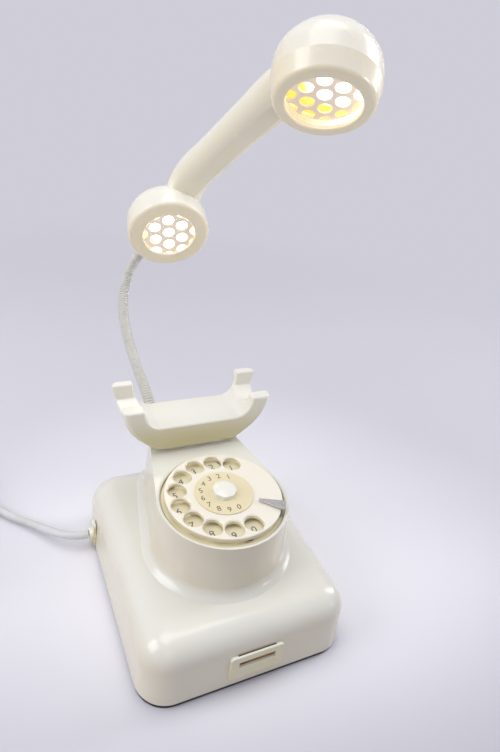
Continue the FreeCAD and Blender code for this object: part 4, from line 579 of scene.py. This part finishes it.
@dataclass
class Studio:
    """Camera, pale round sweep and soft lamps."""

    camera_place: Point = (-0.13244, -0.26728, 0.34865)
    right: Point = (0.90372, -0.40842, 0.1284)
    down: Point = (-0.10449, -0.50127, -0.85896)
    forward: Point = (0.41518, 0.76284, -0.49568)
    focal_pixels: float = 566.27
    frame_height: int = 752
    sensor: float = 36.0
    nearest: float = 0.01
    floor_reach: float = 2.4
    floor_round: float = 0.9
    floor_hole: float = 0.001
    floor_first: float = 0.2
    floor_rows: int = 8
    bend_rows: int = 16
    columns: int = 96
    wall_height: float = 2.6
    # The floor's colours paint a pool of light round the telephone and shade towards its front edge.
    floor_colour: Colour = paint(240, 239, 246)
    floor_far: Colour = paint(207, 206, 214)
    floor_near: Colour = paint(190, 189, 198)
    floor_roughness: float = 0.75
    pool_centre: Point = (0.035, -0.03, 0.0)
    pool_span: tuple[float, float] = (0.08, 0.32)
    edge_centre: Point = (0.25, 1.0, 0.0)
    edge_span: tuple[float, float] = (1.05, 1.22)
    wall_glow: Colour = paint(207, 206, 216)
    glow_centre: Point = (0.02, 0.06, 0.0)
    glow_span: tuple[float, float] = (0.35, 0.9)
    world_colour: Colour = (0.97, 0.97, 1.0)
    world_strength: float = 0.615
    aim: Point = (0.0, 0.05, 0.15)
    handset_aim: Point = (0.04, 0.08, 0.3)
    handset_spread: float = math.radians(32)

    def camera(self) -> bpy.types.Object:
        """Sets the camera where the photograph was taken from.

        Returns:
            The camera.
        """
        lens = bpy.data.cameras.new("camera")
        lens.sensor_width = self.sensor
        lens.lens = self.focal_pixels / self.frame_height * self.sensor
        lens.clip_start = self.nearest
        camera = linked("camera", lens)
        axes = np.column_stack([self.right, -np.array(self.down), -np.array(self.forward)])
        camera.matrix_world = Matrix.Translation(self.camera_place) @ Matrix(axes.tolist()).to_4x4()
        bpy.context.scene.camera = camera
        return camera

    def sweep(self) -> bpy.types.Object:
        """A floor disc whose rim rises in a quarter round to a wall, turned about the upright axis.

        Returns:
            The floor piece.
        """
        bend = np.linspace(0, math.pi / 2, self.bend_rows)
        flat = self.floor_reach - self.floor_round
        level = np.linspace(self.floor_first, flat, self.floor_rows)[:-1]
        rise = flat + self.floor_round * np.sin(bend)
        reach = np.concatenate([[self.floor_hole], level, rise, [self.floor_reach]])[:, None]
        height = np.concatenate([np.zeros(self.floor_rows), self.floor_round * (1 - np.cos(bend)),
                                 [self.wall_height]])[:, None]
        turn = around(self.columns)
        grid = np.stack([reach * np.cos(turn), reach * np.sin(turn),
                         np.broadcast_to(height, (len(reach), self.columns))], axis=-1)
        floor = surface("floor", grid)
        floor.data.materials.append(self.paper())
        return floor

    def paper(self) -> bpy.types.Material:
        """The sweep's material: a painted pool of light, a darker front edge of painted shade, and a far wall that
        shows an even glow.

        Returns:
            The material.
        """
        recipe = Recipe("floor_paper")
        far = recipe.distance(self.glow_centre).ramp(*self.glow_span)
        fall = recipe.distance(self.pool_centre).ramp(*self.pool_span)
        pool = recipe.mix(fall, self.floor_colour, self.floor_far)
        edge = recipe.distance(self.edge_centre).ramp(*self.edge_span)
        recipe.set(Base_Color=recipe.mix(edge, pool, self.floor_near), Roughness=self.floor_roughness)
        glow = recipe.node("ShaderNodeEmission", links={"Color": (*self.wall_glow, 1.0)}).outputs[0]
        rays = recipe.node("ShaderNodeLightPath").outputs
        seen = Value(recipe, rays["Is Camera Ray"]) + Value(recipe, rays["Is Glossy Ray"])
        seen = (seen + Value(recipe, rays["Is Transmission Ray"])).ramp(0.0, 1.0)
        links = {0: far * seen, 1: recipe.shader.outputs[0], 2: glow}
        both = recipe.node("ShaderNodeMixShader", links=links).outputs[0]
        recipe.feed(recipe.output.inputs["Surface"], both)
        return recipe.material

    def lamp(self, name: str, place: Point, size: tuple[float, float], power: float, aim: Point,
             spread: float = math.pi) -> None:
        """One soft area lamp.

        Args:
            name: Its name.
            place: Where it hangs.
            size: Its width and height.
            power: Its power in watts.
            aim: The point it faces.
            spread: The angle that its light keeps to.
        """
        light = bpy.data.lights.new(name, "AREA")
        light.shape = "RECTANGLE"
        light.size, light.size_y = size
        light.energy = power
        light.spread = spread
        lamp = linked(name, light)
        lamp.location = place
        lamp.rotation_euler = (Vector(aim) - Vector(place)).to_track_quat("-Z", "Y").to_euler()

    def light(self) -> None:
        """World and lamps: a wide one overhead, one at each side, a weak one in front and one on the handset."""
        world = bpy.data.worlds.new("studio")
        world.use_nodes = True
        sky = world.node_tree.nodes["Background"].inputs
        sky["Color"].default_value = (*self.world_colour, 1.0)
        sky["Strength"].default_value = self.world_strength
        bpy.context.scene.world = world
        self.lamp("overhead", (-0.1, 0.25, 1.7), (1.3, 1.0), 9.1, self.aim)
        self.lamp("left", (-1.3, 0.1, 0.9), (0.9, 1.0), 10.7, self.aim)
        self.lamp("right", (1.2, 0.1, 0.8), (0.35, 1.0), 5.6, self.aim)
        self.lamp("front", (-0.5, -1.4, 1.2), (0.8, 0.6), 1.2, self.aim)
        self.lamp("handset", (0.75, -0.5, 0.42), (0.3, 0.3), 0.15, self.handset_aim, self.handset_spread)

    def build(self) -> None:
        """Makes the whole studio."""
        bpy.context.scene.view_settings.view_transform = "Standard"
        self.camera()
        self.sweep()
        self.light()


@dataclass
class MainsLead:
    """The lead from its bush to the tied coil and the plug, one spline across the floor.

    Sizes are in millimetres, apart from its whole length in metres.
    """

    radius: float = 3.0
    exit: Point = (-77.5, 54.0, 13.0)
    route: tuple[Point, ...] = ((-90.0, 54.0, 13.0), (-114.0, 85.0, 4.6), (-134.0, 104.0, 4.0))
    last_run: float = 18.0
    coil_centre: Point = (-196.0, 128.0, 4.5)
    coil_outer: float = 44.8
    coil_pitch: float = 6.6
    coil_start: float = math.radians(20.0)
    coil_in: float = 3.5
    coil_climb: float = 0.5
    coil_turns: float = 7.5
    points_per_turn: int = 16
    tail: float = 30.0
    length: float = 1.70
    small_turn: float = 1e-4
    smoothness: int = 6

    def coil(self, turn: np.ndarray) -> np.ndarray:
        """Points of the coil: it winds in on the floor, climbs one pitch over half a turn, and winds out again.

        Args:
            turn: Turns from the coil's start.

        Returns:
            Points in millimetres.
        """
        along = np.clip(turn - self.coil_in, 0, self.coil_climb)
        top = self.coil_in + self.coil_climb
        inward = np.minimum(turn, self.coil_in) + along - along ** 2 / self.coil_climb - np.maximum(turn - top, 0)
        reach = self.coil_outer - self.coil_pitch * inward
        share = along / self.coil_climb
        height = self.coil_pitch * (3 * share ** 2 - 2 * share ** 3)
        angle = self.coil_start + math.tau * turn
        offset = np.stack([reach * np.cos(angle), reach * np.sin(angle), height], axis=-1)
        return np.array(self.coil_centre) + offset

    def heading(self, turn: float) -> np.ndarray:
        """Direction of the coil at a turn."""
        ends = self.coil(np.array([turn - self.small_turn, turn + self.small_turn]))
        return (ends[1] - ends[0]) / np.linalg.norm(ends[1] - ends[0])

    def points(self) -> np.ndarray:
        """The spline's points in metres: the route, the coil's turns and the straight tail into the plug."""
        turns = np.linspace(0, self.coil_turns, int(self.coil_turns * self.points_per_turn) + 1)
        coil = self.coil(turns)
        before = coil[0] - self.heading(0.0) * self.last_run
        tail = self.heading(self.coil_turns) * self.tail
        return np.vstack([self.exit, self.route, before, coil, coil[-1] + tail / 2, coil[-1] + tail]) * MM

    def build(self) -> bpy.types.Object:
        """Returns:
            The lead's curve.
        """
        points = self.points()
        curve = bpy.data.curves.new("mains_lead", "CURVE")
        curve.dimensions = "3D"
        curve.bevel_depth = self.radius * MM
        curve.bevel_resolution = self.smoothness
        curve.resolution_u = self.smoothness
        curve.use_fill_caps = True
        spline = curve.splines.new("NURBS")
        spline.points.add(len(points) - 1)
        spline.points.foreach_set("co", np.column_stack([points, np.ones(len(points))]).ravel())
        spline.order_u = 3
        spline.use_endpoint_u = True
        lead = coat(linked("mains_lead", curve), Finish.LEAD)
        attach(lead, "base")
        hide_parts("mains_cord", "cord_coil")
        dress(Finish.TIE, "cord_tie")
        dress(Finish.PLUG, "plug_body")
        dress(Finish.BRASS, "plug_pins")
        return lead


@dataclass
class Gooseneck:
    """Ribbed hose from the gland behind the cradle to the ferrule in the handset, in two halves."""

    corners: tuple[Point, ...] = ((-17.0, 80.2, 74.0), (-23.38, 84.45, 127.15), (-38.76, 205.87, 130.77),
                                  (-10.05, 171.30, 196.59))
    crest: float = 4.2
    root: float = 3.4
    ribs: int = 84
    rows_per_rib: int = 8
    columns: int = 28
    roundness: float = 0.6
    fine_rows: int = 2000

    def line(self, rows: int) -> np.ndarray:
        """Evenly spaced points on the cubic curve of the four corner points.

        Args:
            rows: How many points.

        Returns:
            Points in metres.
        """
        share = np.linspace(0, 1, self.fine_rows)[:, None]
        a, b, c, d = (np.array(corner) for corner in self.corners)
        rest = 1 - share
        fine = a * rest ** 3 + 3 * b * rest ** 2 * share + 3 * c * rest * share ** 2 + d * share ** 3
        run = np.concatenate([[0], np.cumsum(np.linalg.norm(np.diff(fine, axis=0), axis=1))])
        even = np.linspace(0, run[-1], rows)
        return np.column_stack([np.interp(even, run, fine[:, axis]) for axis in range(3)]) * MM

    def half(self, name: str, path: np.ndarray, first_row: int) -> bpy.types.Object:
        """One half: rings whose radius rises and falls in a rounded wave once for each rib.

        Args:
            name: The piece's name.
            path: Its centre line.
            first_row: Where its first ring stands in the whole hose.

        Returns:
            The piece.
        """
        row = first_row + np.arange(len(path))
        wave = np.abs(np.sin(math.pi * row / self.rows_per_rib)) ** self.roundness
        radii = (self.root + (self.crest - self.root) * wave) * MM
        piece = surface(name, carried(path, radii, self.columns, (1.0, 0.0, 0.0)), capped=True)
        return coat(piece, Finish.HOSE)

    def build(self) -> None:
        """Makes both halves, hides the imported hose and lead, and dresses the fittings."""
        rows = self.ribs * self.rows_per_rib + 1
        path = self.line(rows)
        middle = rows // 2
        lower = self.half("hose_lower", path[:middle + 1], 0)
        upper = self.half("hose_upper", path[middle:], middle)
        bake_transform(lower)
        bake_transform(upper)
        for piece in (lower, upper):
            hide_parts("gooseneck_hose", "lamp_lead")
        dress(Finish.STEEL, "hose_gland", "gland_nut", "hose_ferrule", "ferrule_nut")
        LOG.info("built the gooseneck, %d ribs", self.ribs)


@dataclass
class Dial:
    """Finger wheel with printed digits on its centre disc and on the plate under its holes, in millimetres."""

    centre: Point = (0.0, -12.3, 93.3)
    tilt: float = math.radians(2.0)
    first_hole: float = 32.0
    pitch: float = 25.4
    digits: str = "1234567890"
    disc_top: float = 0.8
    disc_circle: float = 15.6
    disc_size: float = 6.0
    plate_top: float = -5.4
    plate_circle: float = 32.0
    plate_size: float = 7.5
    ink: float = 0.06
    smoothness: int = 4

    def glyph(self, letter: str, size: float) -> tuple[np.ndarray, list[list[int]]]:
        """A digit's outline, raised by the ink's thickness and centred.

        Args:
            letter: The digit.
            size: The type size in millimetres.

        Returns:
            Its points in millimetres and its faces.
        """
        curve = bpy.data.curves.new("digit", "FONT")
        curve.body = letter
        curve.size = size
        curve.extrude = self.ink / 2
        curve.resolution_u = self.smoothness
        text = linked("digit", curve)
        mesh = bpy.data.meshes.new_from_object(text)
        points = np.empty(3 * len(mesh.vertices))
        mesh.vertices.foreach_get("co", points)
        points = points.reshape(-1, 3)
        points[:, :2] -= (points[:, :2].min(axis=0) + points[:, :2].max(axis=0)) / 2
        faces = [list(face.vertices) for face in mesh.polygons]
        bpy.data.objects.remove(text)
        bpy.data.curves.remove(curve)
        bpy.data.meshes.remove(mesh)
        return points, faces

    def on_dial(self, points: np.ndarray) -> np.ndarray:
        """Turns points in the dial's own plane into the shared frame, in metres."""
        lean, rise = math.cos(self.tilt), math.sin(self.tilt)
        across, up, out = points.T
        x, y, z = self.centre
        return np.column_stack([x + across, y + up * lean - out * rise, z + up * rise + out * lean]) * MM

    def ring(self, name: str, circle: float, size: float, level: float) -> bpy.types.Object:
        """All ten digits upright round a circle, one beside each hole.

        Args:
            name: The piece's name.
            circle: The circle's radius.
            size: The type size.
            level: Height over the wheel's top.

        Returns:
            The piece.
        """
        points, faces, count = [], [], 0
        for step, letter in enumerate(self.digits):
            angle = math.radians(self.first_hole - self.pitch * step)
            outline, sides = self.glyph(letter, size)
            place = np.array([circle * math.sin(angle), circle * math.cos(angle), level + self.ink / 2])
            points.append(outline + place)
            faces += [[count + corner for corner in side] for side in sides]
            count += len(outline)
        return meshed(name, self.on_dial(np.vstack(points)), faces)

    def build(self) -> None:
        """Dresses the dial's solids and prints its digits."""
        dress(Finish.WHEEL, "finger_wheel")
        dress(Finish.DISC, "centre_disc")
        dress(Finish.KNOB, "centre_cap")
        dress(Finish.PLATE, "number_plate", "dial_pan")
        dress(Finish.BLADE, "finger_stop")
        dress(Finish.STEEL, "dial_shaft", "spring_barrel", "dial_screws", "governor_bridge")
        dress(Finish.BRASS, "main_gear", "governor_pinion", "governor_drum")
        inner = coat(self.ring("disc_digits", self.disc_circle, self.disc_size, self.disc_top), Finish.PRINT)
        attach(inner, "dial")
        outer = coat(self.ring("plate_digits", self.plate_circle, self.plate_size, self.plate_top),
                     Finish.BLUE_PRINT)
        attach(outer, "base")
        LOG.info("printed %d digits twice", len(self.digits))


@dataclass
class CradleSpring:
    """Return spring under the cradle's crossbar, which in the real telephone shortens as the cradle goes down;
    this one is built at one length.
    """

    radius: float = 4.0
    wire: float = 0.5
    turns: float = 6.0
    travel: float = 3.2
    rows: int = 220
    columns: int = 10

    def build(self) -> None:
        """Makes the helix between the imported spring's lowest and highest points."""
        low, high = (np.array(corner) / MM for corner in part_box("cradle_spring"))
        centre = (low + high) / 2
        share = np.linspace(0, 1, self.rows)
        turn = math.tau * self.turns * share
        path = np.column_stack([centre[0] + self.radius * np.cos(turn), centre[1] + self.radius * np.sin(turn),
                                low[2] + self.wire + (high[2] - low[2] - 2 * self.wire) * share]) * MM
        radii = np.full(len(path), self.wire * MM)
        grid = carried(path, radii, self.columns, (0.0, 0.0, 1.0))
        spring = coat(surface("return_spring", grid, capped=True), Finish.STEEL)
        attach(spring, "base")
        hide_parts("cradle_spring")
        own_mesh(spring)


@dataclass
class CardPocketShade:
    """Painted shade: a dark bar in the gap behind the card frame's upper edge, through which the card goes in."""

    foot: Point = (0.0, -87.24, 10.5)
    up: Point = (0.0, 0.0661, 0.9978)
    half_width: float = 13.2
    rise: tuple[float, float] = (18.6, 19.12)
    reach: tuple[float, float] = (0.1, 0.9)

    def build(self) -> None:
        """Makes the gap's painted shade as a thin dark bar along the frame's edge."""
        up = np.array(self.up)
        out = np.array([0.0, -self.up[2], self.up[1]])
        rise = np.array(self.rise)[[0, 1, 1, 0], None]
        reach = np.array(self.reach)[[0, 0, 1, 1], None]
        ends = np.array([[[-self.half_width, 0.0, 0.0]], [[self.half_width, 0.0, 0.0]]])
        grid = (np.array(self.foot) + rise * up + reach * out + ends) * MM
        bar = surface("card_pocket_shade", grid, capped=True)
        bar.data.shade_flat()
        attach(coat(bar, Finish.POCKET_SHADE), "base")


@dataclass
class Base:
    """Housing, plate, feet, card frame, cradle and the fittings inside."""

    spring: CradleSpring = field(default_factory=CradleSpring)
    # The card's pocket is painted shade: a dark bar.
    pocket: CardPocketShade = field(default_factory=CardPocketShade)

    def build(self) -> None:
        """Dresses the base's solids and makes the spring and the painted shade in the card's pocket."""
        dress(Finish.SHELL, "housing")
        dress(Finish.COLLAR, "card_frame", "cord_bush")
        dress(Finish.CRADLE, "cradle_fork")
        dress(Finish.CARD, "number_card")
        dress(Finish.SHEET, "base_plate")
        dress(Finish.FOOT, "rubber_feet")
        dress(Finish.STEEL, "base_screws", "cradle_screws", "cradle_plunger", "hook_bracket", "lever_pin",
              "cord_clamp")
        dress(Finish.BRASS, "hook_lever", "contact_stack")
        dress(Finish.BLOCK, "terminal_block")
        dress(Finish.DRIVER, "lamp_driver")
        self.spring.build()
        self.pocket.build()


@dataclass
class Grille:
    """Perforated disc of hexagon cells set back in a cap, and the lit wall from it to the cap's lip.

    Sizes are in millimetres. The lip is the centre of the cap's opening, inward its axis and row a row of holes.
    """

    node: str
    lip: Point
    inward: Point
    row: Point
    opening: float
    depth: float
    hole: float
    pitch: float = 11.7
    lip_half: float = 1.4
    thickness: float = 1.2
    columns: int = 30
    wall_columns: int = 64
    rows_each_way: int = 4
    spare: float = 0.7
    tiny: float = 1e-6

    def place(self, flat: np.ndarray, level: np.ndarray | float) -> np.ndarray:
        """Points of the disc's own plane in the shared frame.

        Args:
            flat: Points along the rows and across them, in millimetres.
            level: How far in from the lip they lie.

        Returns:
            Points in metres.
        """
        inward, row = np.array(self.inward), np.array(self.row)
        deep = np.asarray(level)[..., None] * inward
        return (np.array(self.lip) + flat[..., :1] * row + flat[..., 1:] * np.cross(inward, row) + deep) * MM

    def face(self) -> bpy.types.Object:
        """The disc: round each hole a cell from the hole's edge to a hexagon, cut off at the disc's rim.

        Returns:
            The piece.
        """
        steps = np.arange(-self.rows_each_way, self.rows_each_way + 1)
        along, over = (axis.ravel() for axis in np.meshgrid(steps, steps))
        centres = self.pitch * np.column_stack([along + over / 2, over * math.sqrt(0.75)])
        centres = centres[np.linalg.norm(centres, axis=1) < self.opening + self.spare * self.pitch]
        turn = around(self.columns)
        sixth = math.pi / 3
        side = self.pitch / 2 / np.cos((turn + sixth / 2) % sixth - sixth / 2)
        ring = np.column_stack([np.cos(turn), np.sin(turn)])
        hexagon, hole = side[:, None] * ring, self.hole * ring
        flat = centres[:, None, None] + np.stack([hexagon, hole, hole, hexagon])
        reach = np.linalg.norm(flat, axis=-1, keepdims=True)
        flat *= np.minimum(1.0, self.opening / np.maximum(reach, self.tiny))
        level = self.depth + self.thickness * np.array([0.0, 0.0, 1.0, 1.0])[None, :, None]
        points = self.place(flat, np.broadcast_to(level, flat.shape[:-1]))
        index = np.arange(points[..., 0].size).reshape(points.shape[:-1])
        ahead = np.roll(index, -1, axis=2)
        quads = np.stack([index[:, :-1], index[:, 1:], ahead[:, 1:], ahead[:, :-1]], axis=-1).reshape(-1, 4)
        inside = (reach <= self.opening).ravel()
        used, quads = np.unique(quads[inside[quads].any(axis=1)], return_inverse=True)
        return meshed(f"{self.node}_face", points.reshape(-1, 3)[used], quads.reshape(-1, 4).tolist())

    def turned(self, name: str, reach: tuple[float, ...], level: tuple[float, ...]) -> bpy.types.Object:
        """A surface turned about the cap's axis.

        Args:
            name: The piece's name.
            reach: Radius of each ring.
            level: How far in from the lip each ring lies.

        Returns:
            The piece.
        """
        turn = around(self.wall_columns)
        flat = np.array(reach)[:, None, None] * np.column_stack([np.cos(turn), np.sin(turn)])
        deep = np.broadcast_to(np.array(level)[:, None], flat.shape[:-1])
        return surface(name, self.place(flat, deep))

    def build(self, wall: LitLamp) -> None:
        """Makes the disc and its wall on the handset.

        Args:
            wall: The finish of the lit wall.
        """
        rim = self.turned(f"{self.node}_wall", (self.opening, self.opening), (self.lip_half, self.depth))
        for piece, finish in ((self.face(), Finish.GRILLE), (rim, wall)):
            coat(piece, finish)
            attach(piece, "handset")
            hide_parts(self.node)


@dataclass
class Handset:
    """Shell, caps, grilles and the two lit lamps."""

    ear: Grille = field(default_factory=lambda: Grille(
        "earpiece_grille", (51.41, 32.35, 328.07), (0.2771, 0.5777, 0.7677), (0.9603, -0.1933, -0.2012),
        opening=22.4, depth=5.2, hole=4.4))
    mouth: Grille = field(default_factory=lambda: Grille(
        "mouthpiece_grille", (1.47, 138.79, 220.29), (0.1177, 0.8994, 0.421), (0.9431, 0.0315, -0.331),
        opening=20.4, depth=1.9, hole=4.3))
    shell_crease: float = 15.0
    strength: float = 7.0
    ear_wall_strength: float = 1.6
    mouth_wall_strength: float = 1.1
    ear_spread: tuple[float, float] = (0.011, 0.02)
    ear_wall_spread: tuple[float, float] = (0.02, 0.036)
    mouth_spread: tuple[float, float] = (0.012, 0.024)
    core: Colour = (1.0, 0.95, 0.84)
    warm: Colour = (0.42, 0.3, 0.12)
    gold: Colour = (0.138, 0.086, 0.002)
    ear_bright: tuple[float, float] = (4.0, -8.0)
    lens_gap: float = 1.5
    lens_hole: float = 0.1
    lens_round: float = 22.2
    lens_edge: float = 1.0

    def lamp(self, name: str, rim: Colour, centre: Point, spread: tuple[float, float],
             strength: float) -> LitLamp:
        """The finish of one lamp or of the wall that it lights.

        Args:
            name: The finish's name.
            rim: The colour of its glow where it is weakest.
            centre: Its brightest spot.
            spread: Distances from that spot where the glow starts and stops falling.
            strength: How bright it is.

        Returns:
            The finish.
        """
        return LitLamp(name, self.core, rim, centre, spread, strength)

    def build(self) -> None:
        """Dresses the handset's solids and makes the grilles and the earpiece's lens."""
        dress(Finish.HANDSET, "handset_shell", crease=self.shell_crease)
        dress(Finish.CAP, "earpiece_cap", "mouthpiece_cap")
        dress(Finish.HOLDER, "earpiece_holder", "mouthpiece_holder")
        low, high = (np.array(corner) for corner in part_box("mouthpiece_lamp"))
        middle = tuple(float(part) for part in (low + high) / 2)
        glow = self.lamp("mouthpiece_glow", self.warm, middle, self.mouth_spread, self.strength)
        dress(glow, "mouthpiece_lamp")
        level = self.ear.depth + self.ear.thickness + self.lens_gap
        lens = self.ear.turned("earpiece_lens", (self.lens_hole, self.lens_round, self.lens_round),
                               (level, level, level + self.lens_edge))
        bright = tuple(float(part) for part in self.ear.place(np.array(self.ear_bright), level))
        coat(lens, self.lamp("earpiece_glow", self.gold, bright, self.ear_spread, self.strength))
        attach(lens, "handset")
        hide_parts("earpiece_lamp")
        # The walls inside the caps are no lamps; their glow is painted light from the lamps.
        self.ear.build(self.lamp("earpiece_wall_glow", self.gold, bright, self.ear_wall_spread,
                                 self.ear_wall_strength))
        self.mouth.build(self.lamp("mouthpiece_wall_glow", self.warm, middle, self.mouth_spread,
                                   self.mouth_wall_strength))


def main() -> None:
    """Builds the studio, the lead and every sub-assembly in turn."""
    logging.basicConfig(level=logging.INFO, format="%(message)s")
    Studio().build()
    for assembly in (MainsLead(), Gooseneck(), Base(), Dial(), Handset()):
        assembly.build()
        LOG.info("finished %s", type(assembly).__name__)


if __name__ == "__main__":
    main()
